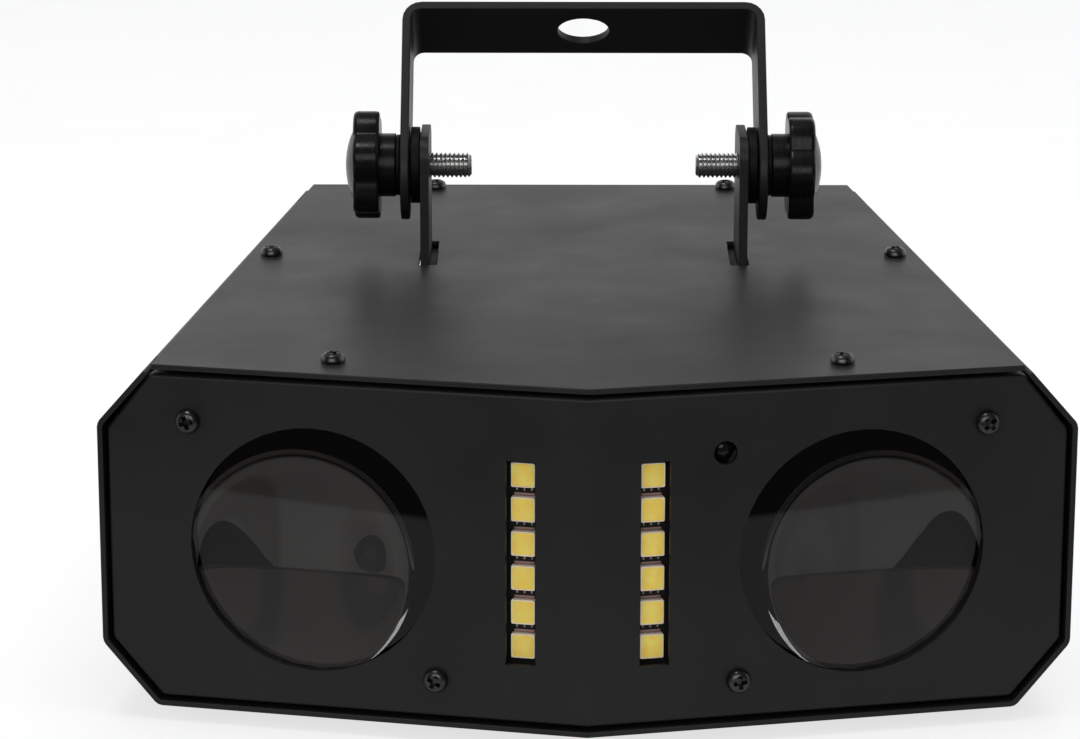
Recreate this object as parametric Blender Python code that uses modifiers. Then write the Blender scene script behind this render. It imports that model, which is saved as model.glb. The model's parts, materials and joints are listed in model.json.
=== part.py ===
"""A twin-lens LED flower effect light: folded sheet housing, two projection optics, two strobe
strips, a rear connection panel and a tilting bracket with two star knobs.

Metres, +Z up. The front faces -Y. The origin is the centre of the bounding box's base.
"""

import math

import bmesh
import bpy
from mathutils import Matrix, Vector

# Housing: outside sizes at the front corners, and how its sides close in towards the rear
HALF_WIDTH = 0.1019
HOUSING_HEIGHT = 0.0744
HOUSING_DEPTH = 0.1767
FRONT_ANGLE = math.radians(12.33)
SIDE_TAPER = math.tan(math.radians(7.29))
CHAMFER_WIDTH = 0.0118
CHAMFER_HEIGHT = 0.0133
SHEET = 0.0012
BEND_RADIUS = 0.0009
TOP_FLANGE = 0.010

# Clearances
GAP = 0.0003
PANEL_GAP = 0.0009
PANEL_INSET = 0.0004
HOLE_CLEARANCE = 0.0003

# Front and rear panels
PANEL_FLANGE = 0.0110
RELIEF_RADIUS = 0.0009

# Windows and lenses, in the plane of each half of the front
LENS_SHARE = 0.57213
LENS_OFFSET = LENS_SHARE * HALF_WIDTH
LENS_RISE = 0.0364
WINDOW_RADIUS = 0.0262
LENS_RADIUS = 0.0290
LENS_CURVE = 0.0370
LENS_EDGE = 0.0020
HOLDER_LIP = 0.0006
HOLDER_WALL = 0.0020
HOLDER_SEAT = 0.0010
HOLDER_PLATE = 0.0025
EAR_RADIUS = 0.0042
EAR_OFFSET = 0.0262
RING_WIDTH = 0.0018
RING_THICKNESS = 0.0015

# Strobe strips
STRIP_OFFSET = 0.0142
SLOT_WIDTH = 0.0063
SLOT_HEIGHT = 0.0437
STRIP_RISE = 0.0364
STROBE_COUNT = 6
STROBE_PITCH = 0.00734
STROBE_WIDTH = 0.0050
STROBE_HEIGHT = 0.0052
STROBE_THICKNESS = 0.0013
STROBE_SETBACK = 0.0027
STRIP_BOARD_WIDTH = 0.0090
STRIP_BOARD_HEIGHT = 0.0620
BOARD_THICKNESS = 0.0016
STUD_RISE = 0.0272

# Remote control receiver
EYE_FROM_LENS = 0.0295
EYE_OFFSET = LENS_OFFSET - EYE_FROM_LENS
EYE_RISE = 0.0593
EYE_HOLE_RADIUS = 0.0025
EYE_RADIUS = 0.0021
EYE_LENGTH = 0.0050
EYE_STUD_DX = 0.0046
EYE_STUD_DZ = 0.0071
EYE_BOARD_WIDTH = 0.0080
EYE_BOARD_LENGTH = 0.0216

# Screws, studs and nuts
SCREW_RADIUS = 0.00145
SCREW_HEAD_RADIUS = 0.0026
SCREW_HEAD_HEIGHT = 0.0018
SCREW_LENGTH = 0.0070
POST_RADIUS = 0.0029
POST_NOSE = 0.0022
TOP_SCREW_SIDE_INSET = 0.0055
TOP_SCREW_REAR_INSET = 0.0045
TOP_SCREW_FRONT_SHARE = 0.5162
TOP_SCREW_FRONT_BACK = 0.0102
TOP_SCREW_SIDE_SHARE = 0.5524
TOP_SCREW_REAR_SHARE = 0.3553

# Feet
FOOT_RADIUS = 0.0060
FOOT_HEIGHT = 0.0030
FOOT_FRONT_INSET = (0.0339, 0.0220)
FOOT_REAR_INSET = (0.0459, 0.0187)

# Lugs on the top cover, and the tilt axis
LUG_OUTER = 0.0374
LUG_THICKNESS = 0.0020
LUG_WIDTH = 0.0240
LUG_TOP_ABOVE_AXIS = 0.0082
LUG_CORNER = 0.0050
LUG_FOOT = 0.0140
LUG_FOOT_STEP = 0.0005
AXIS_HEIGHT = 0.0207
AXIS_FROM_REAR = 0.0764
AXIS_Y = HOUSING_DEPTH - AXIS_FROM_REAR
LUG_AHEAD = 0.0005
LUG_CENTRE_Y = AXIS_Y - LUG_AHEAD
SLOT_CLEARANCE = 0.0016

# Tilting bracket
BRACKET_THICKNESS = 0.0020
BRACKET_WIDTH = 0.0220
BRACKET_REACH = 0.0369
BRACKET_BEND = 0.0045
BRACKET_HOLE_RADIUS = 0.0060
BRACKET_TAIL = 0.0128
BRACKET_LEAN = math.radians(38.0)

# Knobs, bolts, washers and spacers
SPACER_RADIUS = 0.0088
SPACER_THICKNESS = 0.0020
WASHER_RADIUS = 0.0070
WASHER_THICKNESS = 0.0008
BOLT_RADIUS = 0.0029
BOLT_TIP = 0.0258
HUB_RADIUS = 0.0073
HUB_LENGTH = 0.0035
STAR_RADIUS = 0.0128
STAR_DEPTH = 0.0018
STAR_LOBES = 6
STAR_THICKNESS = 0.0060
STAR_ROUNDING = 0.0007
STAR_TURN = {"left": math.radians(-8.5), "right": math.radians(30.0)}
DOME_RADIUS = 0.0083
DOME_HEIGHT = 0.0019
BOLT_IN_KNOB = 0.0060

# Effect optics behind each lens, measured inwards from the front plane
WHEEL_DEPTH = 0.0500
WHEEL_RADIUS = 0.0210
WHEEL_THICKNESS = 0.0012
PATTERN_COUNT = 6
PATTERN_CIRCLE = 0.0125
PATTERN_RADIUS = 0.0034
SHAFT_RADIUS = 0.0015
SHAFT_NOSE = 0.0020
COLLAR_RADIUS = 0.0040
COLLAR_LENGTH = 0.0025
LED_TO_WHEEL = 0.0045
RING_BOARD_RADIUS = 0.0200
RING_LED_RADIUS = 0.0025
RING_LED_HEIGHT = 0.0022
BRACKET_PLATE = 0.0020
OPTICS_WIDTH = 0.0440
OPTICS_TOP = 0.0650
OPTICS_LIP_DEPTH = 0.0440
OPTICS_LIP_TOP = 0.0228
PATTERN_TURN = math.radians(16.5)
MOTOR_RADIUS = 0.0140
MOTOR_LENGTH = 0.0160
SHAFT_IN_MOTOR = 0.0090

# Supply board on the tray floor
SUPPLY_SIZE = (0.0880, 0.0560)
SUPPLY_FROM_REAR = 0.0647
SUPPLY_Y = HOUSING_DEPTH - SUPPLY_FROM_REAR
STANDOFF_HEIGHT = 0.0060
STANDOFF_INSET = 0.0045
TRANSFORMER = (0.0300, 0.0260, 0.0220)
CAPACITOR_RADIUS = 0.0070
CAPACITOR_HEIGHT = 0.0220

# Rear connections, placed by (x, z) on the rear panel
INLET_AT = (-0.0440, 0.0230)
INLET_FLANGE = (0.0500, 0.0225)
INLET_BODY = (0.0275, 0.0198)
INLET_CAVITY = (0.0244, 0.0164)
INLET_DEPTH = 0.0190
INLET_CAVITY_DEPTH = 0.0160
PIN_WIDTH = 0.0040
PIN_THICKNESS = 0.0020
PIN_SPACING = 0.0140
BLADE_ROOT = 0.0015
BLADE_SETBACK = 0.0030
FLANGE_THICKNESS = 0.0020
SIGNAL_OUT_AT = (0.0120, 0.0220)
SIGNAL_IN_AT = (0.0460, 0.0220)
SIGNAL_FLANGE = (0.0260, 0.0310)
SIGNAL_RADIUS = 0.0115
SIGNAL_DEPTH = 0.0200
SIGNAL_CAVITY_RADIUS = 0.0095
SIGNAL_CAVITY_DEPTH = 0.0150
SIGNAL_PIN_RADIUS = 0.0012
SIGNAL_PIN_CIRCLE = 0.0052
DISPLAY_AT = (0.0080, 0.0590)
DISPLAY_SIZE = (0.0300, 0.0130)
BUTTON_Z = 0.0450
BUTTON_SPACING = 0.0100
BUTTON_COUNT = 4
BUTTON_RADIUS = 0.0022
BUTTON_REACH = 0.0016
BUTTON_TRAVEL = 0.0008
CONTROL_BOARD = (0.0760, 0.0300)
CONTROL_BOARD_X = 0.0200
CONTROL_BOARD_Z = 0.0535
CONTROL_STANDOFF = 0.0080
DIAL_AT = (0.0500, 0.0520)
DIAL_RADIUS = 0.0055
DIAL_HEIGHT = 0.0080
DIAL_SHAFT_RADIUS = 0.0030
POT_SIZE = 0.0120
MIC_AT = (0.0330, 0.0620)
MIC_RADIUS = 0.0046
MIC_HOLE_RADIUS = 0.0007
VENT_COUNT = 6
VENT_PITCH = 0.0080
VENT_SIZE = (0.0030, 0.0180)
VENT_AT = (-0.0440, 0.0530)

# Upright slots in both side walls, placed by (y, z)
SIDE_VENT_COUNT = 9
SIDE_VENT_PITCH = 0.0050
SIDE_VENT_SIZE = (0.0034, 0.0270)
SIDE_VENT_AT = (0.0920, 0.0425)

# Heights and depths that follow from the sizes above
FLOOR = FOOT_HEIGHT + GAP
TOP = FLOOR + HOUSING_HEIGHT
COVER_UNDERSIDE = TOP - SHEET
FLANGE_TOP = COVER_UNDERSIDE - GAP
PANEL_TOP = COVER_UNDERSIDE - PANEL_GAP
PANEL_BOTTOM = FLOOR + SHEET + PANEL_GAP
TRAY_FLOOR = FLOOR + SHEET
CREASE_Y = -HALF_WIDTH * math.tan(FRONT_ANGLE)
PANEL_BACK = PANEL_INSET + SHEET
REAR_FACE = HOUSING_DEPTH - PANEL_INSET
REAR_BACK = REAR_FACE - SHEET
AXIS_Z = TOP + AXIS_HEIGHT
SCREW_HOLE = SCREW_RADIUS + HOLE_CLEARANCE
BOLT_HOLE = BOLT_RADIUS + HOLE_CLEARANCE
REARMOST = REAR_FACE + GAP + DIAL_HEIGHT
ORIGIN_Y = (CREASE_Y + REARMOST) / 2.0
SIDES = (("left", -1.0), ("right", 1.0))

# Colour, roughness, metallic
PAINT = ((0.018, 0.018, 0.019), 0.55, 0.0)
COVER_PAINT = ((0.030, 0.030, 0.031), 0.50, 0.0)
PLASTIC = ((0.012, 0.012, 0.012), 0.35, 0.0)
STEEL = ((0.62, 0.62, 0.60), 0.30, 1.0)
BLACK_STEEL = ((0.020, 0.020, 0.020), 0.35, 0.6)
GLASS = ((0.75, 0.80, 0.82), 0.03, 0.0)
BOARD_GREEN = ((0.02, 0.10, 0.05), 0.5, 0.0)
BOARD_WHITE = ((0.55, 0.38, 0.34), 0.5, 0.0)
RUBBER = ((0.02, 0.02, 0.02), 0.85, 0.0)
ALUMINIUM = ((0.70, 0.71, 0.72), 0.35, 1.0)


def clear_scene():
    """Remove what the file opened with."""
    for item in list(bpy.data.objects):
        bpy.data.objects.remove(item, do_unlink=True)


def new_collection(name):
    """Add a collection to the scene."""
    made = bpy.data.collections.new(name)
    bpy.context.scene.collection.children.link(made)
    return made


clear_scene()
PARTS = new_collection("led_flower_effect_light")
TOOLS = new_collection("cutters")


def material(name, finish):
    """A plain principled material."""
    colour, roughness, metallic = finish
    made = bpy.data.materials.new(name)
    made.use_nodes = True
    shader = made.node_tree.nodes["Principled BSDF"]
    shader.inputs["Base Color"].default_value = (*colour, 1.0)
    shader.inputs["Roughness"].default_value = roughness
    shader.inputs["Metallic"].default_value = metallic
    return made


def empty(name, location, rotation=(0.0, 0.0, 0.0), parent=None):
    """A frame that pieces are placed in."""
    made = bpy.data.objects.new(name, None)
    TOOLS.objects.link(made)
    made.parent = parent
    made.location = location
    made.rotation_euler = rotation
    return made


ROOT = empty("housing_frame", (0.0, -ORIGIN_Y, 0.0))
FACETS = {
    side: empty("front_" + side, (0.0, CREASE_Y, 0.0), (0.0, 0.0, sign * FRONT_ANGLE), ROOT)
    for side, sign in SIDES
}
REAR = empty("rear_face", (0.0, REAR_FACE, 0.0), (0.0, 0.0, 0.0), ROOT)
AXIS = empty("tilt_axis", (0.0, AXIS_Y, AXIS_Z), (0.0, 0.0, 0.0), ROOT)

ALONG_X = (0.0, math.pi / 2.0, 0.0)
ALONG_MINUS_X = (0.0, -math.pi / 2.0, 0.0)
ALONG_Y = (-math.pi / 2.0, 0.0, 0.0)
ALONG_MINUS_Y = (math.pi / 2.0, 0.0, 0.0)


def place(obj, location, rotation, parent):
    """Set an object in its parent's frame."""
    obj.parent = parent or ROOT
    obj.location = location
    obj.rotation_euler = rotation
    return obj


def part(name, mesh, finish, location=(0.0, 0.0, 0.0), rotation=(0.0, 0.0, 0.0), parent=None):
    """A named piece of the model."""
    obj = bpy.data.objects.new(name, mesh)
    PARTS.objects.link(obj)
    mesh.materials.clear()
    mesh.materials.append(material(name, finish))
    return place(obj, location, rotation, parent)


def tool(name, mesh, location=(0.0, 0.0, 0.0), rotation=(0.0, 0.0, 0.0), parent=None):
    """A cutter or a piece that is joined to another."""
    obj = bpy.data.objects.new(name, mesh)
    TOOLS.objects.link(obj)
    obj.hide_render = True
    obj.display_type = "WIRE"
    return place(obj, location, rotation, parent)


def boolean(obj, other, operation="DIFFERENCE"):
    """Cut an object with another, or join or intersect the two."""
    step = obj.modifiers.new(other.name, "BOOLEAN")
    step.operation = operation
    step.solver = "EXACT"
    step.object = other


def smooth(mesh, angle=35.0):
    """Shade round faces smooth and keep the sharp edges."""
    mesh.shade_smooth()
    mesh.set_sharp_from_angle(angle=math.radians(angle))
    return mesh


def finish_bmesh(work, name):
    """Turn a bmesh into a mesh."""
    mesh = bpy.data.meshes.new(name)
    work.to_mesh(mesh)
    work.free()
    return mesh


def box_mesh(name, size, centre=(0.0, 0.0, 0.0)):
    """A box, from a cube at its real size."""
    work = bmesh.new()
    bmesh.ops.create_cube(work, size=1.0)
    bmesh.ops.scale(work, vec=size, verts=work.verts)
    bmesh.ops.translate(work, vec=centre, verts=work.verts)
    return finish_bmesh(work, name)


def rod_mesh(name, radius, length, segments=20, start=0.0):
    """A cylinder along +Z from the start height."""
    work = bmesh.new()
    ends = {"radius1": radius, "radius2": radius, "depth": length}
    bmesh.ops.create_cone(work, cap_ends=True, segments=segments, **ends)
    bmesh.ops.translate(work, vec=(0.0, 0.0, start + length / 2.0), verts=work.verts)
    return smooth(finish_bmesh(work, name))


def evaluated(obj):
    """The mesh an object shows once its modifiers are applied; the object is removed."""
    graph = bpy.context.evaluated_depsgraph_get()
    graph.update()
    mesh = bpy.data.meshes.new_from_object(obj.evaluated_get(graph))
    bpy.data.objects.remove(obj, do_unlink=True)
    return mesh


def turned_mesh(name, profile, segments=32, closed=False):
    """A turned solid about Z. The profile (radius, height) runs down its outer side."""
    mesh = bpy.data.meshes.new(name)
    count = len(profile)
    edges = [(i, i + 1) for i in range(count - 1)]
    if closed:
        edges.append((count - 1, 0))
    mesh.from_pydata([(r, 0.0, z) for r, z in profile], edges, [])
    obj = bpy.data.objects.new(name, mesh)
    TOOLS.objects.link(obj)
    step = obj.modifiers.new("turn", "SCREW")
    step.steps = segments
    step.render_steps = segments
    step.use_merge_vertices = True
    step.merge_threshold = 0.00001
    turned = evaluated(obj)
    turned.name = name
    return smooth(turned)


def flat_mesh(name, outline, thickness, holes=(), rounding=0.0):
    """A flat plate in XY with its outline and holes as closed splines, centred on Z."""
    curve = bpy.data.curves.new(name, "CURVE")
    curve.dimensions = "2D"
    curve.fill_mode = "BOTH"
    curve.extrude = thickness / 2.0 - rounding
    curve.bevel_depth = rounding
    curve.bevel_resolution = 0
    if rounding:
        curve.offset = -rounding
    for loop in (outline, *holes):
        spline = curve.splines.new("POLY")
        spline.points.add(len(loop) - 1)
        for point, (x, y) in zip(spline.points, loop):
            point.co = (x, y, 0.0, 1.0)
        spline.use_cyclic_u = True
    obj = bpy.data.objects.new(name, curve)
    TOOLS.objects.link(obj)
    mesh = evaluated(obj)
    work = bmesh.new()
    work.from_mesh(mesh)
    bmesh.ops.remove_doubles(work, verts=work.verts, dist=0.000001)
    bmesh.ops.recalc_face_normals(work, faces=work.faces)
    work.to_mesh(mesh)
    work.free()
    mesh.name = name
    return smooth(mesh)


def group_mesh(name, mesh, places):
    """Copies of one mesh as separate solids in one node. Places are matrices."""
    work = bmesh.new()
    for matrix in places:
        before = len(work.verts)
        work.from_mesh(mesh)
        work.verts.ensure_lookup_table()
        bmesh.ops.transform(work, matrix=matrix, verts=work.verts[before:])
    return smooth(finish_bmesh(work, name))


def joined_mesh(name, meshes):
    """Several meshes as separate solids in one node."""
    work = bmesh.new()
    for mesh in meshes:
        work.from_mesh(mesh)
    return smooth(finish_bmesh(work, name))


def circle(radius, centre=(0.0, 0.0), segments=20):
    """Points around a circle."""
    steps = [2.0 * math.pi * i / segments for i in range(segments)]
    return [(centre[0] + radius * math.cos(a), centre[1] + radius * math.sin(a)) for a in steps]


def rectangle(width, height, centre=(0.0, 0.0)):
    """The corners of a rectangle."""
    x, y = width / 2.0, height / 2.0
    return [(centre[0] + a, centre[1] + b) for a, b in ((-x, -y), (x, -y), (x, y), (-x, y))]


def rounded(width, height, radius, centre=(0.0, 0.0), steps=4):
    """A rectangle with round corners."""
    points = []
    for quarter, (sx, sy) in enumerate(((1, 1), (-1, 1), (-1, -1), (1, -1))):
        cx = centre[0] + sx * (width / 2.0 - radius)
        cy = centre[1] + sy * (height / 2.0 - radius)
        for i in range(steps + 1):
            angle = math.pi / 2.0 * (quarter + i / steps)
            points.append((cx + radius * math.cos(angle), cy + radius * math.sin(angle)))
    return points


def cross(origin, a, b):
    """Which way the turn from a to b goes, seen from the origin."""
    return (a[0] - origin[0]) * (b[1] - origin[1]) - (a[1] - origin[1]) * (b[0] - origin[0])


def hull(points):
    """The outline stretched around a set of points."""
    ordered = sorted(set((round(x, 7), round(y, 7)) for x, y in points))
    chains = []
    for run in (ordered, ordered[::-1]):
        chain = []
        for point in run:
            while len(chain) > 1 and cross(chain[-2], chain[-1], point) <= 0.0:
                chain.pop()
            chain.append(point)
        chains.append(chain[:-1])
    return chains[0] + chains[1]


def folded_sheet(name, faces, outward, finish):
    """Folded sheet metal: an open skin of flat faces with rounded bends and the sheet's thickness.

    The first face's normal points the given way.
    """
    work = bmesh.new()
    for face in faces:
        work.faces.new([work.verts.new(point) for point in face])
    bmesh.ops.remove_doubles(work, verts=work.verts, dist=0.00001)
    bmesh.ops.recalc_face_normals(work, faces=work.faces)
    work.faces.ensure_lookup_table()
    if work.faces[0].normal.dot(Vector(outward)) < 0.0:
        bmesh.ops.reverse_faces(work, faces=work.faces)
    obj = part(name, finish_bmesh(work, name), finish)
    bend = obj.modifiers.new("bends", "BEVEL")
    bend.width = BEND_RADIUS
    bend.segments = 2
    bend.limit_method = "ANGLE"
    bend.angle_limit = math.radians(32.0)
    wall = obj.modifiers.new("sheet", "SOLIDIFY")
    wall.thickness = SHEET
    wall.offset = -1.0
    wall.use_even_offset = True
    return obj


def front_y(x_ref):
    """Depth at which the side line that passes x_ref at depth 0 meets the front plane."""
    slope = math.tan(FRONT_ANGLE)
    return -(HALF_WIDTH - x_ref) * slope / (1.0 + SIDE_TAPER * slope)


def side_line(x_ref, y):
    """Half width at a depth, on the line that passes x_ref at depth 0."""
    return x_ref - SIDE_TAPER * y


def chamfer_x(z):
    """Half width of the upper chamfer at a height, at depth 0."""
    return HALF_WIDTH - CHAMFER_WIDTH * (z - (TOP - CHAMFER_HEIGHT)) / CHAMFER_HEIGHT


def mirrored(faces):
    """Both halves of a set of faces given for +X."""
    return faces + [[(-x, y, z) for x, y, z in face][::-1] for face in faces]


def side_vent_cutters():
    """The slots that let warm air out of both side walls."""
    width, height = SIDE_VENT_SIZE
    slot = flat_mesh("side_vent", rounded(height, width, width * 0.48, steps=3), SHEET * 6.0)
    turn = Matrix.Rotation(math.pi / 2.0, 4, "Y")
    places = []
    for sign in (-1.0, 1.0):
        for i in range(SIDE_VENT_COUNT):
            y = SIDE_VENT_AT[0] + (i - (SIDE_VENT_COUNT - 1) / 2.0) * SIDE_VENT_PITCH
            at = (sign * side_line(HALF_WIDTH, y), y, FLOOR + SIDE_VENT_AT[1])
            places.append(Matrix.Translation(at) @ turn)
    return tool("side_vents", group_mesh("side_vents", slot, places))


def base_tray():
    """Bottom, lower chamfers, sides, upper chamfers and top flanges, folded from one sheet.

    The top flanges stop short of the front and rear panels' own flanges.
    """
    ridge = chamfer_x(FLANGE_TOP)
    corners = [
        (HALF_WIDTH - CHAMFER_WIDTH, FLOOR),
        (HALF_WIDTH, FLOOR + CHAMFER_HEIGHT),
        (HALF_WIDTH, TOP - CHAMFER_HEIGHT),
        (ridge, FLANGE_TOP),
    ]
    front = [(side_line(x, front_y(x)), front_y(x), z) for x, z in corners]
    rear = [(side_line(x, HOUSING_DEPTH), HOUSING_DEPTH, z) for x, z in corners]
    start = front[3][1] + PANEL_INSET + PANEL_FLANGE + PANEL_GAP
    stop = REAR_FACE - PANEL_FLANGE - PANEL_GAP
    flange = [
        (side_line(ridge, start), start, FLANGE_TOP),
        (side_line(ridge, stop), stop, FLANGE_TOP),
        (side_line(ridge, stop) - TOP_FLANGE, stop, FLANGE_TOP),
        (side_line(ridge, start) - TOP_FLANGE, start, FLANGE_TOP),
    ]
    faces = [[(0.0, CREASE_Y, FLOOR), (0.0, HOUSING_DEPTH, FLOOR), rear[0], front[0]]]
    for i in range(2):
        faces.append([front[i], rear[i], rear[i + 1], front[i + 1]])
    faces.append([front[2], rear[2], rear[3], flange[1], flange[0], front[3]])
    faces.append(flange)
    tray = folded_sheet("base_tray", mirrored(faces), (0.0, 0.0, -1.0), PAINT)
    boolean(tray, flange_screw_cutters("tray_flange_holes"))
    boolean(tray, side_vent_cutters())
    post = post_mesh(SHEET / 2.0 + GAP + STANDOFF_HEIGHT)
    for index, (x, y) in enumerate(supply_post_points(), 1):
        at = (x, y, FLOOR + SHEET / 2.0)
        boolean(tray, tool("supply_post_%d" % index, post, at), "UNION")
    return tray


def post_mesh(shoulder):
    """A round post from Z = 0 whose nose passes through a board that rests on its shoulder."""
    nose = shoulder + GAP + BOARD_THICKNESS + POST_NOSE
    profile = [
        (0.0, nose),
        (SCREW_RADIUS, nose),
        (SCREW_RADIUS, shoulder),
        (POST_RADIUS, shoulder),
        (POST_RADIUS, 0.0),
        (0.0, 0.0),
    ]
    return turned_mesh("post", profile, 8)


def panel_corners(top, bottom, inset):
    """Half of a panel's outline at depth 0, inside the tray by the inset."""
    drop = inset * CHAMFER_WIDTH / CHAMFER_HEIGHT
    return [
        (HALF_WIDTH - CHAMFER_WIDTH - inset / 2.0, bottom),
        (HALF_WIDTH - inset, FLOOR + CHAMFER_HEIGHT + inset / 2.0),
        (HALF_WIDTH - inset, TOP - CHAMFER_HEIGHT - inset / 2.0),
        (chamfer_x(top) - drop, top),
    ]


def front_panel():
    """The creased front with its flanges, windows, slots and holes."""
    corners = panel_corners(PANEL_TOP, PANEL_BOTTOM, SHEET + PANEL_GAP)
    crease = CREASE_Y + PANEL_INSET / math.cos(FRONT_ANGLE)
    front = []
    back = []
    for x, z in corners:
        y = front_y(x) + PANEL_INSET / math.cos(FRONT_ANGLE)
        front.append((side_line(x, y), y, z))
        back.append((side_line(x, y + PANEL_FLANGE), y + PANEL_FLANGE, z))
    low, high = (0.0, crease, PANEL_BOTTOM), (0.0, crease, PANEL_TOP)
    low_back = (0.0, crease + PANEL_FLANGE, PANEL_BOTTOM)
    high_back = (0.0, crease + PANEL_FLANGE, PANEL_TOP)
    faces = [[low, *front, high]]
    rim = [low, *front, high]
    rim_back = [low_back, *back, high_back]
    for i in range(len(rim) - 1):
        faces.append([rim[i], rim_back[i], rim_back[i + 1], rim[i + 1]])
    panel = folded_sheet("front_panel", mirrored(faces), (0.0, -1.0, 0.0), PAINT)
    for side, sign in SIDES:
        boolean(panel, window_cutters(side, sign))
        add_front_posts(panel, side, sign)
    boolean(panel, flange_screw_cutters("panel_flange_holes"))
    boolean(panel, relief_cutters(front, PANEL_INSET))
    return panel


def add_front_posts(panel, side, sign):
    """Posts welded behind the front, which carry the strobe boards and the receiver."""
    start = PANEL_INSET + SHEET / 2.0
    places = [(point, STRIP_FRONT) for point in strip_stud_places(sign)]
    if sign > 0.0:
        places += [(point, EYE_BOARD_FRONT) for point in eye_stud_places()]
    for index, ((u, z), board_front) in enumerate(places, 1):
        post = post_mesh(board_front - GAP - start)
        name = "front_post_%s_%d" % (side, index)
        boolean(panel, tool(name, post, (u, start, z), ALONG_Y, FACETS[side]), "UNION")


def relief_cutters(corners, inset):
    """Small round reliefs where the panel's bent flanges meet."""
    length = PANEL_FLANGE
    rod = rod_mesh("relief", RELIEF_RADIUS, length, 8)
    turn = Matrix.Rotation(-math.pi / 2.0, 4, "X")
    places = []
    for x, y, z in corners:
        for sign in (-1.0, 1.0):
            places.append(Matrix.Translation((sign * x, y + inset + SHEET, z)) @ turn)
    return tool("relief_cutters", group_mesh("relief_cutters", rod, places))


def depth_matrix(u, z, depth=0.0):
    """A place in a facet's frame whose Z axis runs inwards."""
    return Matrix.Translation((u, depth, z)) @ Matrix.Rotation(-math.pi / 2.0, 4, "X")


def ear_places(sign):
    """The lens holder's two screws: outer top and inner bottom."""
    u = sign * LENS_OFFSET
    return [
        (u + sign * EAR_OFFSET, FLOOR + LENS_RISE + EAR_OFFSET),
        (u - sign * EAR_OFFSET, FLOOR + LENS_RISE - EAR_OFFSET),
    ]


def strip_stud_places(sign):
    """The strobe strip's two studs."""
    return [(sign * STRIP_OFFSET, FLOOR + STRIP_RISE + up * STUD_RISE) for up in (1.0, -1.0)]


def eye_stud_places():
    """The receiver board's two studs."""
    z = FLOOR + EYE_RISE
    return [(EYE_OFFSET + s * EYE_STUD_DX, z + s * EYE_STUD_DZ) for s in (1.0, -1.0)]


def window_cutters(side, sign):
    """Everything that is cut through one half of the front."""
    reach = SHEET * 4.0
    start = PANEL_INSET - reach / 2.0
    meshes = []
    window = rod_mesh("window", WINDOW_RADIUS, reach, 48)
    meshes.append(group_mesh("w", window, [depth_matrix(sign * LENS_OFFSET, FLOOR + LENS_RISE, start)]))
    hole = rod_mesh("hole", SCREW_HOLE, reach, 12)
    meshes.append(group_mesh("h", hole, [depth_matrix(u, z, start) for u, z in ear_places(sign)]))
    slot = box_mesh("slot", (SLOT_WIDTH, reach, SLOT_HEIGHT))
    at = Matrix.Translation((sign * STRIP_OFFSET, start + reach / 2.0, FLOOR + STRIP_RISE))
    meshes.append(group_mesh("s", slot, [at]))
    if sign > 0.0:
        eye = rod_mesh("eye", EYE_HOLE_RADIUS, reach, 20)
        meshes.append(group_mesh("e", eye, [depth_matrix(EYE_OFFSET, FLOOR + EYE_RISE, start)]))
    return tool("window_cutters_" + side, joined_mesh("window_cutters", meshes), parent=FACETS[side])


def top_screw_points():
    """The six cover screws: two behind the front edge, two along the sides, two at the rear."""
    front_x = TOP_SCREW_FRONT_SHARE * HALF_WIDTH
    front = (front_x, -(HALF_WIDTH - front_x) * math.tan(FRONT_ANGLE) + TOP_SCREW_FRONT_BACK)
    side_y = TOP_SCREW_SIDE_SHARE * HOUSING_DEPTH
    side_x = side_line(HALF_WIDTH - CHAMFER_WIDTH - TOP_SCREW_SIDE_INSET, side_y)
    rear = (TOP_SCREW_REAR_SHARE * HALF_WIDTH, HOUSING_DEPTH - TOP_SCREW_REAR_INSET)
    points = (front, (side_x, side_y), rear)
    return [(sign * x, y) for x, y in points for sign in (-1.0, 1.0)]


def flange_screw_cutters(name):
    """Holes for the cover screws in what lies under the cover."""
    reach = SCREW_LENGTH * 2.0
    rod = rod_mesh(name, SCREW_HOLE, reach, 12, COVER_UNDERSIDE - SCREW_LENGTH - GAP)
    places = [Matrix.Translation((x, y, 0.0)) for x, y in top_screw_points()]
    return tool(name, group_mesh(name, rod, places))


def top_cover():
    """The flat cover with its screw holes and lug slots."""
    x_front = HALF_WIDTH - CHAMFER_WIDTH - GAP
    y = front_y(x_front)
    outline = [
        (0.0, CREASE_Y),
        (side_line(x_front, y), y),
        (side_line(x_front, HOUSING_DEPTH), HOUSING_DEPTH),
        (-side_line(x_front, HOUSING_DEPTH), HOUSING_DEPTH),
        (-side_line(x_front, y), y),
    ]
    holes = [circle(SCREW_HOLE, point, 12) for point in top_screw_points()]
    slot = LUG_THICKNESS + SLOT_CLEARANCE + HOLE_CLEARANCE
    for sign in (-1.0, 1.0):
        middle = sign * (LUG_OUTER + HOLE_CLEARANCE - slot / 2.0)
        holes.append(rectangle(slot, LUG_WIDTH + 2.0 * HOLE_CLEARANCE, (middle, LUG_CENTRE_Y)))
    mesh = flat_mesh("top_cover", outline, SHEET, holes)
    return part("top_cover", mesh, COVER_PAINT, (0.0, 0.0, TOP - SHEET / 2.0))


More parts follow.
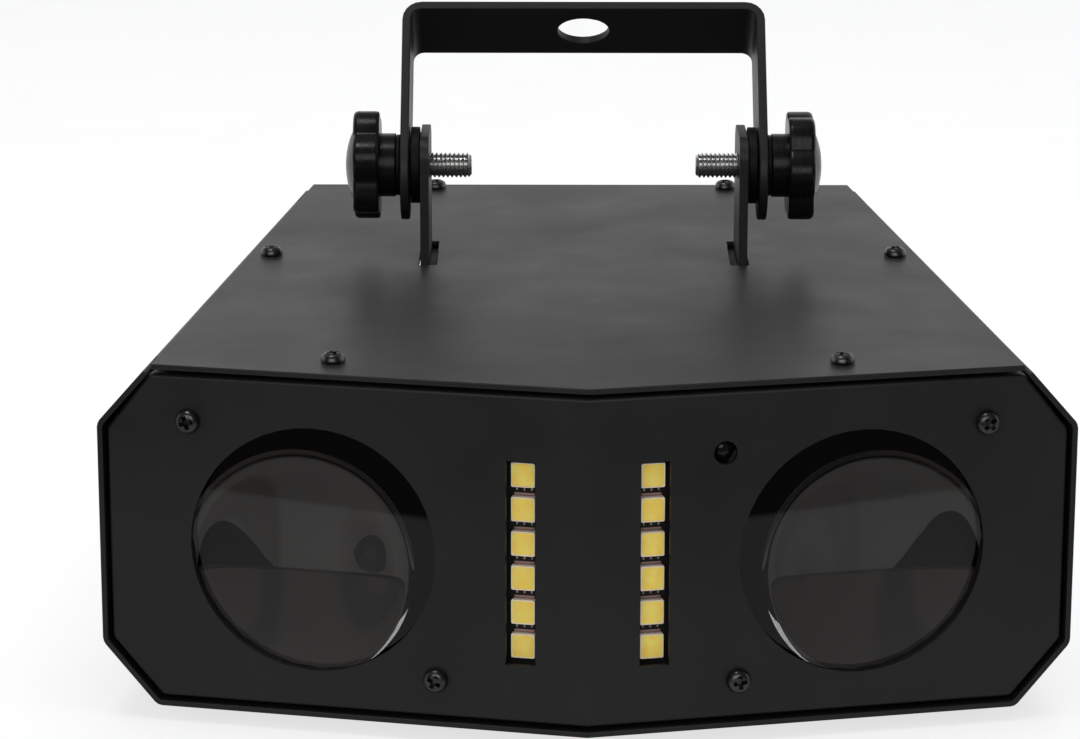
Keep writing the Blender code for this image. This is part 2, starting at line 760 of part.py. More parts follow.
def rear_panel():
    """The flat rear panel with its flanges, cut-outs and vents."""
    corners = panel_corners(PANEL_TOP, PANEL_BOTTOM, SHEET + PANEL_GAP)
    rear = [(side_line(x, REAR_FACE), REAR_FACE, z) for x, z in corners]
    front_edge = REAR_FACE - PANEL_FLANGE
    inner = [(side_line(x, front_edge), front_edge, z) for x, z in corners]
    low, high = (0.0, REAR_FACE, PANEL_BOTTOM), (0.0, REAR_FACE, PANEL_TOP)
    rim = [low, *rear, high]
    rim_inner = [(0.0, front_edge, PANEL_BOTTOM), *inner, (0.0, front_edge, PANEL_TOP)]
    faces = [rim]
    for i in range(len(rim) - 1):
        faces.append([rim[i], rim_inner[i], rim_inner[i + 1], rim[i + 1]])
    panel = folded_sheet("rear_panel", mirrored(faces), (0.0, 1.0, 0.0), PAINT)
    boolean(panel, rear_cutters())
    boolean(panel, flange_screw_cutters("rear_flange_holes"))
    post = post_mesh(SHEET / 2.0 + GAP + CONTROL_STANDOFF)
    for index, (x, z) in enumerate(control_post_points(), 1):
        at = (x, -SHEET / 2.0, FLOOR + z)
        boolean(panel, tool("control_post_%d" % index, post, at, ALONG_MINUS_Y, REAR), "UNION")
    return panel


def rear_matrix(x, z, depth=0.0):
    """A place on the rear panel whose Z axis points out of it."""
    return Matrix.Translation((x, depth, FLOOR + z)) @ Matrix.Rotation(-math.pi / 2.0, 4, "X")


def button_points():
    """The menu buttons, in a row under the display."""
    first = DISPLAY_AT[0] - BUTTON_SPACING * (BUTTON_COUNT - 1) / 2.0
    return [(first + i * BUTTON_SPACING, BUTTON_Z) for i in range(BUTTON_COUNT)]


def mic_hole_points():
    """A small cross of holes in front of the microphone."""
    step = MIC_HOLE_RADIUS * 3.5
    offsets = ((0.0, 0.0), (step, 0.0), (-step, 0.0), (0.0, step), (0.0, -step))
    return [(MIC_AT[0] + dx, MIC_AT[1] + dz) for dx, dz in offsets]


def rear_cutters():
    """Everything that is cut through the rear panel."""
    reach = SHEET * 4.0
    start = -reach / 2.0
    meshes = []

    def holes(radius, points, segments):
        rod = rod_mesh("hole", radius, reach, segments, start)
        meshes.append(group_mesh("holes", rod, [rear_matrix(x, z, -SHEET / 2.0) for x, z in points]))

    def openings(width, height, points):
        block = box_mesh("opening", (width, reach, height))
        at = [Matrix.Translation((x, -SHEET / 2.0, FLOOR + z)) for x, z in points]
        meshes.append(group_mesh("openings", block, at))

    holes(SIGNAL_RADIUS + HOLE_CLEARANCE, (SIGNAL_OUT_AT, SIGNAL_IN_AT), 24)
    holes(BUTTON_RADIUS + HOLE_CLEARANCE, button_points(), 16)
    holes(DIAL_SHAFT_RADIUS + HOLE_CLEARANCE, (DIAL_AT,), 20)
    holes(MIC_HOLE_RADIUS, mic_hole_points(), 8)
    clear = 2.0 * HOLE_CLEARANCE
    openings(INLET_BODY[0] + clear, INLET_BODY[1] + clear, (INLET_AT,))
    openings(DISPLAY_SIZE[0] + clear, DISPLAY_SIZE[1] + clear, (DISPLAY_AT,))
    first = VENT_AT[0] - VENT_PITCH * (VENT_COUNT - 1) / 2.0
    openings(*VENT_SIZE, [(first + i * VENT_PITCH, VENT_AT[1]) for i in range(VENT_COUNT)])
    return tool("rear_cutters", joined_mesh("rear_cutters", meshes), parent=REAR)


def screw_mesh(name, length=SCREW_LENGTH, radius=SCREW_RADIUS):
    """A pan head screw: head above Z = 0, shank below."""
    head, height = SCREW_HEAD_RADIUS, SCREW_HEAD_HEIGHT
    profile = [
        (0.0, height),
        (head * 0.60, height * 0.88),
        (head * 0.95, height * 0.45),
        (head, 0.0),
        (radius, 0.0),
        (radius, -length),
        (0.0, -length),
    ]
    return turned_mesh(name, profile, 12)


def screws():
    """The front screws into the lens holders and the screws that hold the cover."""
    mesh = screw_mesh("screw")
    for side, sign in SIDES:
        for index, (u, z) in enumerate(ear_places(sign), 1):
            at = (u, PANEL_INSET - GAP, z)
            name = "front_screw_%s_%d" % (side, index)
            part(name, mesh.copy(), BLACK_STEEL, at, ALONG_MINUS_Y, FACETS[side])
    for index, (x, y) in enumerate(top_screw_points(), 1):
        part("top_screw_%d" % index, mesh.copy(), BLACK_STEEL, (x, y, TOP + GAP))


def lens_sag(radius):
    """How far the convex face falls back from its vertex at a radius."""
    return LENS_CURVE - math.sqrt(LENS_CURVE ** 2 - radius ** 2)


def lens_height(radius):
    """The convex face's distance from the flat face at a radius."""
    return LENS_EDGE + lens_sag(LENS_RADIUS) - lens_sag(radius)


HOLDER_BORE = LENS_RADIUS + HOLE_CLEARANCE
HOLDER_MOUTH = HOLDER_BORE - HOLDER_SEAT
HOLDER_RADIUS = HOLDER_BORE + HOLDER_WALL
HOLDER_FRONT = PANEL_BACK + GAP
LENS_FRONT = HOLDER_FRONT + HOLDER_LIP + GAP
RING_START = LENS_FRONT + lens_height(LENS_RADIUS - RING_WIDTH) + GAP
HOLDER_END = RING_START + RING_THICKNESS + GAP


def lens_mesh():
    """A plano-convex lens, its axis on Z and its flat face at Z = 0."""
    steps = 6
    profile = []
    for i in range(steps + 1):
        radius = LENS_RADIUS * i / steps
        profile.append((radius, lens_height(radius)))
    profile += [(LENS_RADIUS, 0.0), (0.0, 0.0)]
    return turned_mesh("lens", profile, 36)


def holder_tube_mesh():
    """The holder's tube with its front lip, its axis on Z running inwards."""
    seat = HOLDER_FRONT + HOLDER_LIP
    profile = [
        (HOLDER_RADIUS, HOLDER_END),
        (HOLDER_RADIUS, HOLDER_FRONT),
        (HOLDER_MOUTH, HOLDER_FRONT),
        (HOLDER_MOUTH, seat),
        (HOLDER_BORE, seat),
        (HOLDER_BORE, HOLDER_END),
    ]
    return turned_mesh("holder_tube", profile, 36, closed=True)


def lens_holder(side, sign):
    """A tube for the lens with a plate whose two ears take the front screws."""
    ears = [(u - sign * LENS_OFFSET, z - FLOOR - LENS_RISE) for u, z in ear_places(sign)]
    rim = circle(HOLDER_RADIUS, segments=36)
    for ear in ears:
        rim = rim + circle(EAR_RADIUS, ear, 16)
    holes = [circle(HOLDER_BORE + HOLDER_WALL / 2.0, segments=36)]
    holes += [circle(SCREW_HOLE, ear, 12) for ear in ears]
    # The plate lies in XY with Z inwards, so its heights are turned over
    outline = [(x, -y) for x, y in hull(rim)]
    holes = [[(x, -y) for x, y in hole] for hole in holes]
    plate = flat_mesh("holder_plate", outline, HOLDER_PLATE, holes)
    at = (sign * LENS_OFFSET, 0.0, FLOOR + LENS_RISE)
    holder = part("lens_holder_" + side, holder_tube_mesh(), PLASTIC, at, ALONG_Y, FACETS[side])
    middle = (at[0], HOLDER_FRONT + HOLDER_PLATE / 2.0, at[2])
    boolean(holder, tool("holder_plate_" + side, plate, middle, ALONG_Y, FACETS[side]), "UNION")


def lenses():
    """Both lenses, flat face out, with their holders and retaining rings."""
    for side, sign in SIDES:
        at = channel_at(sign, LENS_FRONT)
        part("lens_" + side, lens_mesh(), GLASS, at, ALONG_Y, FACETS[side])
        lens_holder(side, sign)
        ring = ring_mesh("ring", LENS_RADIUS, LENS_RADIUS - RING_WIDTH, RING_THICKNESS, 28)
        at = channel_at(sign, RING_START)
        part("lens_ring_" + side, ring, PLASTIC, at, ALONG_Y, FACETS[side])


STROBE_BACK = STROBE_SETBACK + STROBE_THICKNESS
STRIP_FRONT = STROBE_BACK + GAP
STRIP_BACK = STRIP_FRONT + BOARD_THICKNESS
EYE_FRONT = PANEL_BACK + GAP
EYE_BOARD_FRONT = EYE_FRONT + EYE_LENGTH + GAP
EYE_BOARD_BACK = EYE_BOARD_FRONT + BOARD_THICKNESS


def strobe_strips():
    """Two boards with their soldered square lamps, behind the slots."""
    for side, sign in SIDES:
        holes = [circle(SCREW_HOLE, (0.0, up * STUD_RISE), 12) for up in (1.0, -1.0)]
        outline = rectangle(STRIP_BOARD_WIDTH, STRIP_BOARD_HEIGHT)
        mesh = flat_mesh("strobe_board", outline, BOARD_THICKNESS, holes)
        middle = (STRIP_FRONT + STRIP_BACK) / 2.0
        at = (sign * STRIP_OFFSET, middle, FLOOR + STRIP_RISE)
        board = part("strobe_board_" + side, mesh, BOARD_WHITE, at, ALONG_Y, FACETS[side])
        lamp = box_mesh("lamp", (STROBE_WIDTH, middle - STROBE_SETBACK, STROBE_HEIGHT))
        for i in range(STROBE_COUNT):
            z = FLOOR + STRIP_RISE + (i - (STROBE_COUNT - 1) / 2.0) * STROBE_PITCH
            lamp_at = (sign * STRIP_OFFSET, (STROBE_SETBACK + middle) / 2.0, z)
            boolean(board, tool("lamp_%s_%d" % (side, i + 1), lamp, lamp_at, parent=FACETS[side]), "UNION")


def receiver():
    """The remote control receiver on its board, behind its small hole."""
    length = EYE_BOARD_FRONT - EYE_FRONT
    profile = [
        (0.0, length + BOARD_THICKNESS / 2.0),
        (EYE_RADIUS, length + BOARD_THICKNESS / 2.0),
        (EYE_RADIUS, EYE_RADIUS * 0.6),
        (EYE_RADIUS * 0.8, EYE_RADIUS * 0.22),
        (EYE_RADIUS * 0.4, EYE_RADIUS * 0.05),
        (0.0, 0.0),
    ]
    at = (EYE_OFFSET, EYE_FRONT, FLOOR + EYE_RISE)
    holes = [circle(SCREW_HOLE, (s * EYE_STUD_DX, -s * EYE_STUD_DZ), 12) for s in (1.0, -1.0)]
    turn = math.atan2(-EYE_STUD_DZ, EYE_STUD_DX)
    cos, sin = math.cos(turn), math.sin(turn)
    straight = rectangle(EYE_BOARD_LENGTH, EYE_BOARD_WIDTH)
    outline = [(x * cos - y * sin, x * sin + y * cos) for x, y in straight]
    mesh = flat_mesh("receiver", outline, BOARD_THICKNESS, holes)
    middle = (EYE_OFFSET, (EYE_BOARD_FRONT + EYE_BOARD_BACK) / 2.0, FLOOR + EYE_RISE)
    board = part("receiver", mesh, BOARD_GREEN, middle, ALONG_Y, FACETS["right"])
    eye = turned_mesh("eye", profile, 16)
    boolean(board, tool("receiver_eye", eye, at, ALONG_Y, FACETS["right"]), "UNION")


def ring_mesh(name, outer, inner, length, segments):
    """A plain ring along +Z from Z = 0."""
    profile = [(outer, length), (outer, 0.0), (inner, 0.0), (inner, length)]
    return turned_mesh(name, profile, segments, closed=True)


WHEEL_BACK = WHEEL_DEPTH + WHEEL_THICKNESS
COLLAR_FRONT = WHEEL_BACK + GAP
RING_LED_FRONT = WHEEL_BACK + LED_TO_WHEEL
RING_BOARD_FRONT = RING_LED_FRONT + RING_LED_HEIGHT + GAP
RING_BOARD_BACK = RING_BOARD_FRONT + BOARD_THICKNESS
PLATE_FRONT = RING_BOARD_BACK + GAP
PLATE_BACK = PLATE_FRONT + BRACKET_PLATE
MOTOR_FRONT = PLATE_BACK + GAP
SHAFT_END = MOTOR_FRONT + SHAFT_IN_MOTOR
SHAFT_HOLE = COLLAR_RADIUS + HOLE_CLEARANCE


def channel_at(sign, depth):
    """A point on a channel's axis, in its facet's frame."""
    return (sign * LENS_OFFSET, depth, FLOOR + LENS_RISE)


def pattern_spots(sign):
    """The middles of the wheel's holes, seen from the front."""
    turns = [sign * -PATTERN_TURN + 2.0 * math.pi * i / PATTERN_COUNT for i in range(PATTERN_COUNT)]
    return [(PATTERN_CIRCLE * math.cos(a), PATTERN_CIRCLE * math.sin(a)) for a in turns]


def pattern_wheel(side, sign):
    """A disc with a ring of holes that shape the beams."""
    # The disc lies in XY with Z inwards, so its heights are turned over
    spots = [(x, -y) for x, y in pattern_spots(sign)]
    holes = [circle(PATTERN_RADIUS, point, 12) for point in spots]
    holes.append(circle(SHAFT_RADIUS + HOLE_CLEARANCE, segments=12))
    wheel = flat_mesh("wheel", circle(WHEEL_RADIUS, segments=36), WHEEL_THICKNESS, holes)
    middle = channel_at(sign, WHEEL_DEPTH + WHEEL_THICKNESS / 2.0)
    part("pattern_wheel_" + side, wheel, BLACK_STEEL, middle, ALONG_Y, FACETS[side])


def motor_shaft(side, sign):
    """The shaft whose collar the wheel is pressed against."""
    nose = -WHEEL_THICKNESS - SHAFT_NOSE
    length = SHAFT_END - COLLAR_FRONT
    profile = [
        (0.0, length),
        (SHAFT_RADIUS, length),
        (SHAFT_RADIUS, COLLAR_LENGTH),
        (COLLAR_RADIUS, COLLAR_LENGTH),
        (COLLAR_RADIUS, 0.0),
        (SHAFT_RADIUS, 0.0),
        (SHAFT_RADIUS, nose),
        (0.0, nose),
    ]
    at = channel_at(sign, COLLAR_FRONT)
    part("motor_shaft_" + side, turned_mesh("shaft", profile, 12), STEEL, at, ALONG_Y, FACETS[side])


def lamp_ring(side, sign):
    """A round board with a lamp behind each of the wheel's holes."""
    frame = FACETS[side]
    outline = circle(RING_BOARD_RADIUS, segments=32)
    board = flat_mesh("ring_board", outline, BOARD_THICKNESS, [circle(SHAFT_HOLE, segments=16)])
    middle = (RING_BOARD_FRONT + RING_BOARD_BACK) / 2.0
    ring_board = part(
        "ring_board_" + side, board, BOARD_WHITE, channel_at(sign, middle), ALONG_Y, frame
    )
    x, y, z = channel_at(sign, RING_LED_FRONT)
    for index, (du, dz) in enumerate(pattern_spots(sign), 1):
        name = "ring_lamp_%s_%d" % (side, index)
        mesh = ring_lamp_mesh(middle - RING_LED_FRONT)
        boolean(ring_board, tool(name, mesh, (x + du, y, z + dz), ALONG_Y, frame), "UNION")


def optics_bracket(side, sign):
    """The bent plate that carries the lamp ring and the motor, with its foot on the tray.

    The foot runs forward under the wheel and turns up in a low lip in front of it.
    """
    frame = FACETS[side]
    floor = TRAY_FLOOR + GAP
    u = sign * LENS_OFFSET
    # Its side view, turned so that -X is up
    height = OPTICS_TOP - SHEET - GAP
    rise = FLOOR + OPTICS_LIP_TOP - floor
    lip_back = OPTICS_LIP_DEPTH + BRACKET_PLATE
    outline = [
        (0.0, OPTICS_LIP_DEPTH),
        (0.0, PLATE_BACK),
        (-height, PLATE_BACK),
        (-height, PLATE_FRONT),
        (-BRACKET_PLATE, PLATE_FRONT),
        (-BRACKET_PLATE, lip_back),
        (-rise, lip_back),
        (-rise, OPTICS_LIP_DEPTH),
    ]
    sheet = flat_mesh("optics_bracket", outline, OPTICS_WIDTH)
    carrier = part("optics_bracket_" + side, sheet, ALUMINIUM, (u, 0.0, floor), ALONG_X, frame)
    reach = BRACKET_PLATE * 3.0
    bore = rod_mesh("bore", SHAFT_HOLE, reach, 16, -reach / 2.0)
    bore_at = channel_at(sign, PLATE_FRONT + BRACKET_PLATE / 2.0)
    boolean(carrier, tool("optics_bore_" + side, bore, bore_at, ALONG_Y, frame))


def motor(side, sign):
    """A round motor behind the plate, bored for its shaft."""
    bore_radius = SHAFT_RADIUS + HOLE_CLEARANCE
    bore_depth = SHAFT_IN_MOTOR + GAP
    profile = [
        (0.0, MOTOR_LENGTH),
        (MOTOR_RADIUS, MOTOR_LENGTH),
        (MOTOR_RADIUS, 0.0),
        (bore_radius, 0.0),
        (bore_radius, bore_depth),
        (0.0, bore_depth),
    ]
    at = channel_at(sign, MOTOR_FRONT)
    part("motor_" + side, turned_mesh("motor", profile, 20), STEEL, at, ALONG_Y, FACETS[side])


def ring_lamp_mesh(length):
    """A small domed lamp, its dome at Z = 0."""
    profile = [
        (0.0, length),
        (RING_LED_RADIUS, length),
        (RING_LED_RADIUS, RING_LED_HEIGHT * 0.45),
        (RING_LED_RADIUS * 0.6, RING_LED_HEIGHT * 0.1),
        (0.0, 0.0),
    ]
    return turned_mesh("ring_lamp", profile, 8)


def supply_post_points():
    """The supply board's four corners."""
    dx = SUPPLY_SIZE[0] / 2.0 - STANDOFF_INSET
    dy = SUPPLY_SIZE[1] / 2.0 - STANDOFF_INSET
    return [(sx * dx, SUPPLY_Y + sy * dy) for sx in (-1.0, 1.0) for sy in (-1.0, 1.0)]


def control_post_points():
    """Two posts between the rear panel and the control board."""
    dx = CONTROL_BOARD[0] / 2.0 - STANDOFF_INSET
    z = CONTROL_BOARD_Z - CONTROL_BOARD[1] / 2.0 + STANDOFF_INSET
    return [(CONTROL_BOARD_X + s * dx, z) for s in (-1.0, 1.0)]


CONTROL_FRONT = REAR_BACK - GAP - CONTROL_STANDOFF - GAP


def supply_board():
    """The power supply board on the floor, with its soldered transformer and capacitors."""
    bottom = TRAY_FLOOR + GAP + STANDOFF_HEIGHT + GAP
    middle = bottom + BOARD_THICKNESS / 2.0
    holes = [circle(SCREW_HOLE, (x, y - SUPPLY_Y), 12) for x, y in supply_post_points()]
    mesh = flat_mesh("supply_board", rectangle(*SUPPLY_SIZE), BOARD_THICKNESS, holes)
    board = part("supply_board", mesh, BOARD_GREEN, (0.0, SUPPLY_Y, middle))
    spread = SUPPLY_SIZE[0] / 4.0
    height = TRANSFORMER[2] + BOARD_THICKNESS / 2.0
    block = box_mesh("transformer", (TRANSFORMER[0], TRANSFORMER[1], height), (0.0, 0.0, height / 2.0))
    boolean(board, tool("transformer", block, (-spread, SUPPLY_Y, middle)), "UNION")
    for index, step in enumerate((-1.0, 1.0), 1):
        can = rod_mesh("capacitor", CAPACITOR_RADIUS, CAPACITOR_HEIGHT + BOARD_THICKNESS / 2.0, 20)
        at = (spread + step * (CAPACITOR_RADIUS + GAP), SUPPLY_Y, middle)
        boolean(board, tool("capacitor_%d" % index, can, at), "UNION")


def control_board():
    """The control board with its switches, sensitivity control and microphone soldered on."""
    middle = CONTROL_FRONT - BOARD_THICKNESS / 2.0
    points = [(x - CONTROL_BOARD_X, CONTROL_BOARD_Z - z) for x, z in control_post_points()]
    holes = [circle(SCREW_HOLE, point, 12) for point in points]
    mesh = flat_mesh("control_board", rectangle(*CONTROL_BOARD), BOARD_THICKNESS, holes)
    at = (CONTROL_BOARD_X, middle, FLOOR + CONTROL_BOARD_Z)
    board = part("control_board", mesh, BOARD_GREEN, at, ALONG_Y)
    switch_reach = CONTROL_STANDOFF / 2.0

    def add(name, mesh_made, x, z):
        boolean(board, tool(name, mesh_made, (x, middle, FLOOR + z), ALONG_Y), "UNION")

    for index, (x, z) in enumerate(button_points(), 1):
        side = BUTTON_RADIUS * 2.4
        length = BOARD_THICKNESS / 2.0 + switch_reach
        add("switch_%d" % index, box_mesh("switch", (side, side, length), (0.0, 0.0, length / 2.0)), x, z)
    length = BOARD_THICKNESS / 2.0 + GAP + CONTROL_STANDOFF
    add("pot_body", box_mesh("pot", (POT_SIZE, POT_SIZE, length), (0.0, 0.0, length / 2.0)), *DIAL_AT)
    shaft_reach = length + GAP + SHEET + GAP + DIAL_HEIGHT / 2.0
    add("pot_shaft", rod_mesh("pot_shaft", DIAL_SHAFT_RADIUS, shaft_reach, 16), *DIAL_AT)
    add("microphone", rod_mesh("microphone", MIC_RADIUS, length, 20), *MIC_AT)

    depth = REAR_FACE - CONTROL_FRONT - GAP
    display = box_mesh("display", (DISPLAY_SIZE[0], depth, DISPLAY_SIZE[1]))
    at = (DISPLAY_AT[0], CONTROL_FRONT + GAP + depth / 2.0, FLOOR + DISPLAY_AT[1])
    part("display", display, PLASTIC, at)
    start = CONTROL_FRONT + switch_reach + GAP + BUTTON_TRAVEL
    for index, (x, z) in enumerate(button_points(), 1):
        cap = rod_mesh("button", BUTTON_RADIUS, REAR_FACE + BUTTON_REACH - start, 16)
        part("menu_button_%d" % index, cap, PLASTIC, (x, start, FLOOR + z), ALONG_Y)


def sensitivity_knob():
    """The small knob on the sensitivity control's shaft."""
    bore = DIAL_SHAFT_RADIUS + HOLE_CLEARANCE
    bore_depth = DIAL_HEIGHT / 2.0 + GAP
    profile = [
        (0.0, DIAL_HEIGHT),
        (DIAL_RADIUS * 0.85, DIAL_HEIGHT),
        (DIAL_RADIUS * 0.95, DIAL_HEIGHT * 0.93),
        (DIAL_RADIUS, 0.0),
        (bore, 0.0),
        (bore, bore_depth),
        (0.0, bore_depth),
    ]
    start = (DIAL_AT[0], REAR_FACE + GAP, FLOOR + DIAL_AT[1])
    part("sensitivity_knob", turned_mesh("dial", profile, 20), PLASTIC, start, ALONG_Y)


def mains_inlet():
    """A snap-in inlet for a mains lead, with its three blades in an open cavity."""
    outer = GAP + FLANGE_THICKNESS
    flange = box_mesh("inlet", (INLET_FLANGE[0], FLANGE_THICKNESS, INLET_FLANGE[1]))
    at = (INLET_AT[0], GAP + FLANGE_THICKNESS / 2.0, FLOOR + INLET_AT[1])
    inlet = part("mains_inlet", flange, PLASTIC, at, parent=REAR)
    body = box_mesh("inlet_body", (INLET_BODY[0], INLET_DEPTH, INLET_BODY[1]))
    body_at = (INLET_AT[0], outer - FLANGE_THICKNESS / 2.0 - INLET_DEPTH / 2.0, FLOOR + INLET_AT[1])
    boolean(inlet, tool("inlet_body", body, body_at, parent=REAR), "UNION")
    cavity = box_mesh("inlet_cavity", (INLET_CAVITY[0], INLET_CAVITY_DEPTH * 2.0, INLET_CAVITY[1]))
    boolean(inlet, tool("inlet_cavity", cavity, (INLET_AT[0], outer, FLOOR + INLET_AT[1]), parent=REAR))
    floor = outer - INLET_CAVITY_DEPTH - BLADE_ROOT
    length = INLET_CAVITY_DEPTH + BLADE_ROOT - BLADE_SETBACK
    drop = INLET_CAVITY[1] / 6.0
    places = ((-PIN_SPACING / 2.0, -drop), (PIN_SPACING / 2.0, -drop), (0.0, drop))
    for index, (dx, dz) in enumerate(places, 1):
        blade = box_mesh("blade", (PIN_THICKNESS, length, PIN_WIDTH))
        blade_at = (INLET_AT[0] + dx, floor + length / 2.0, FLOOR + INLET_AT[1] + dz)
        boolean(inlet, tool("inlet_blade_%d" % index, blade, blade_at, parent=REAR), "UNION")


def signal_sockets():
    """The two round sockets of the control signal: holes on the one out, pins in the one in."""
    angles = [math.pi / 2.0 + i * 2.0 * math.pi / 3.0 for i in range(3)]
    pin_points = [(SIGNAL_PIN_CIRCLE * math.cos(a), SIGNAL_PIN_CIRCLE * math.sin(a)) for a in angles]
    outer = GAP + FLANGE_THICKNESS
    for name, (x, z), has_pins in (
        ("signal_out_socket", SIGNAL_OUT_AT, False),
        ("signal_in_socket", SIGNAL_IN_AT, True),
    ):
        body = rod_mesh(name, SIGNAL_RADIUS, SIGNAL_DEPTH, 24, outer - SIGNAL_DEPTH)
        socket = part(name, body, BLACK_STEEL, (x, 0.0, FLOOR + z), ALONG_Y, REAR)
        outline = rounded(*SIGNAL_FLANGE, SIGNAL_FLANGE[0] / 6.0, steps=3)
        middle = circle(SIGNAL_RADIUS - SHEET, segments=24)
        plate = flat_mesh(name + "_flange", outline, FLANGE_THICKNESS, [middle])
        plate_at = (x, GAP + FLANGE_THICKNESS / 2.0, FLOOR + z)
        boolean(socket, tool(name + "_flange", plate, plate_at, ALONG_Y, REAR), "UNION")
        floor = outer - SIGNAL_CAVITY_DEPTH
        if has_pins:
            cavity = rod_mesh("cavity", SIGNAL_CAVITY_RADIUS, SIGNAL_CAVITY_DEPTH * 2.0, 20)
            boolean(socket, tool(name + "_cavity", cavity, (x, floor, FLOOR + z), ALONG_Y, REAR))
            length = SIGNAL_CAVITY_DEPTH + BLADE_ROOT - BLADE_SETBACK
            for index, (dx, dz) in enumerate(pin_points, 1):
                pin = rod_mesh("pin", SIGNAL_PIN_RADIUS, length, 10)
                pin_at = (x + dx, floor - BLADE_ROOT, FLOOR + z + dz)
                boolean(socket, tool("signal_pin_%d" % index, pin, pin_at, ALONG_Y, REAR), "UNION")
        else:
            hole = rod_mesh("pin_hole", SIGNAL_PIN_RADIUS + HOLE_CLEARANCE, SIGNAL_CAVITY_DEPTH * 2.0, 12)
            spots = [rear_matrix(x + dx, z + dz, floor) for dx, dz in pin_points]
            boolean(socket, tool(name + "_holes", group_mesh("pin_holes", hole, spots), parent=REAR))


def feet():
    """Four rubber feet under the tray."""
    profile = [
        (0.0, FOOT_HEIGHT),
        (FOOT_RADIUS, FOOT_HEIGHT),
        (FOOT_RADIUS * 0.85, 0.0),
        (0.0, 0.0),
    ]
    foot = turned_mesh("foot", profile, 16)
    front = (HALF_WIDTH - FOOT_FRONT_INSET[0], FOOT_FRONT_INSET[1])
    rear = (HALF_WIDTH - FOOT_REAR_INSET[0], HOUSING_DEPTH - FOOT_REAR_INSET[1])
    places = [(s * x, y, 0.0) for x, y in (front, rear) for s in (-1.0, 1.0)]
    for index, at in enumerate(places, 1):
        part("rubber_foot_%d" % index, foot.copy(), RUBBER, at)


def lug(side, sign):
    """A flat lug that stands through the cover, with a foot under it."""
    top = AXIS_Z + LUG_TOP_ABOVE_AXIS
    foot_top = COVER_UNDERSIDE - GAP
    bottom = foot_top - LUG_THICKNESS - LUG_FOOT_STEP
    half = LUG_WIDTH / 2.0
    points = [(half, bottom - AXIS_Z), (half, top - AXIS_Z - LUG_CORNER)]
    steps = 5
    for i in range(1, steps + 1):
        angle = math.pi / 2.0 * i / steps
        x = half - LUG_CORNER + LUG_CORNER * math.cos(angle)
        points.append((x, top - AXIS_Z - LUG_CORNER + LUG_CORNER * math.sin(angle)))
    points += [(-x, z) for x, z in reversed(points)]
    offset = AXIS_Y - LUG_CENTRE_Y
    outline = [(-z, x - offset) for x, z in points]
    mesh = flat_mesh("lug", outline, LUG_THICKNESS, [circle(BOLT_HOLE, segments=20)])
    middle = sign * (LUG_OUTER - LUG_THICKNESS / 2.0)
    obj = part("lug_" + side, mesh, PAINT, (middle, 0.0, 0.0), ALONG_X, AXIS)
    length = LUG_FOOT - LUG_THICKNESS / 2.0
    foot = box_mesh("lug_foot", (length, LUG_WIDTH - 2.0 * LUG_FOOT_STEP, LUG_THICKNESS))
    x = sign * (LUG_OUTER - LUG_THICKNESS / 2.0 - length / 2.0)
    at = (x, LUG_CENTRE_Y, foot_top - LUG_THICKNESS / 2.0)
    boolean(obj, tool("lug_foot_" + side, foot, at), "UNION")


SPACER_START = LUG_OUTER + GAP
ARM_INNER = SPACER_START + SPACER_THICKNESS + GAP
ARM_OUTER = ARM_INNER + BRACKET_THICKNESS
WASHER_START = ARM_OUTER + GAP
HUB_START = WASHER_START + WASHER_THICKNESS + GAP
STAR_START = HUB_START + HUB_LENGTH


def strip_outline():
    """The bracket's strip seen from the front, as a U standing on the tilt axis."""
    steps = 5
    low = -BRACKET_TAIL

    def corner(reach, top, radius):
        points = []
        for i in range(steps + 1):
            angle = math.pi / 2.0 * i / steps
            x = reach - radius + radius * math.cos(angle)
            points.append((x, top - radius + radius * math.sin(angle)))
        return points

    outer = [(ARM_OUTER, low)] + corner(ARM_OUTER, BRACKET_REACH, BRACKET_BEND)
    inner = [(ARM_INNER, low)]
    inner += corner(ARM_INNER, BRACKET_REACH - BRACKET_THICKNESS, BRACKET_BEND - BRACKET_THICKNESS)
    outer += [(-x, z) for x, z in reversed(outer)]
    inner += [(-x, z) for x, z in reversed(inner)]
    return outer + inner[::-1]


def tilt_bracket():
    """The folded strip with its bolt holes and the mounting hole in its bar."""
    turn = (math.pi / 2.0 - BRACKET_LEAN, 0.0, 0.0)
    upright = (-BRACKET_LEAN, 0.0, 0.0)
    mesh = flat_mesh("tilt_bracket", strip_outline(), BRACKET_WIDTH)
    obj = part("tilt_bracket", mesh, PAINT, (0.0, 0.0, 0.0), turn, AXIS)
    half = BRACKET_WIDTH / 2.0
    side = [(half, BRACKET_REACH * 2.0)]
    side.append((-half, BRACKET_REACH * 2.0))
    steps = 10
    for i in range(steps + 1):
        angle = math.pi * (1.0 + i / steps)
        side.append((half * math.cos(angle), -BRACKET_TAIL + half + half * math.sin(angle)))
    outline = [(-z, x) for x, z in side]
    profile = flat_mesh("bracket_profile", outline, ARM_OUTER * 4.0)
    # The profile's plane is turned to the bracket's side view
    holder = empty("bracket_side", (0.0, 0.0, 0.0), upright, AXIS)
    boolean(obj, tool("bracket_profile", profile, (0.0, 0.0, 0.0), ALONG_X, holder), "INTERSECT")
    bolts = rod_mesh("bracket_bolts", BOLT_HOLE, ARM_OUTER * 4.0, 20, -ARM_OUTER * 2.0)
    boolean(obj, tool("bracket_bolts", bolts, (0.0, 0.0, 0.0), ALONG_X, AXIS))
    hook = rod_mesh("bracket_hole", BRACKET_HOLE_RADIUS, BRACKET_THICKNESS * 4.0, 28)
    start = (0.0, 0.0, BRACKET_REACH - BRACKET_THICKNESS * 2.5)
    boolean(obj, tool("bracket_hole", hook, start, (0.0, 0.0, 0.0), holder))


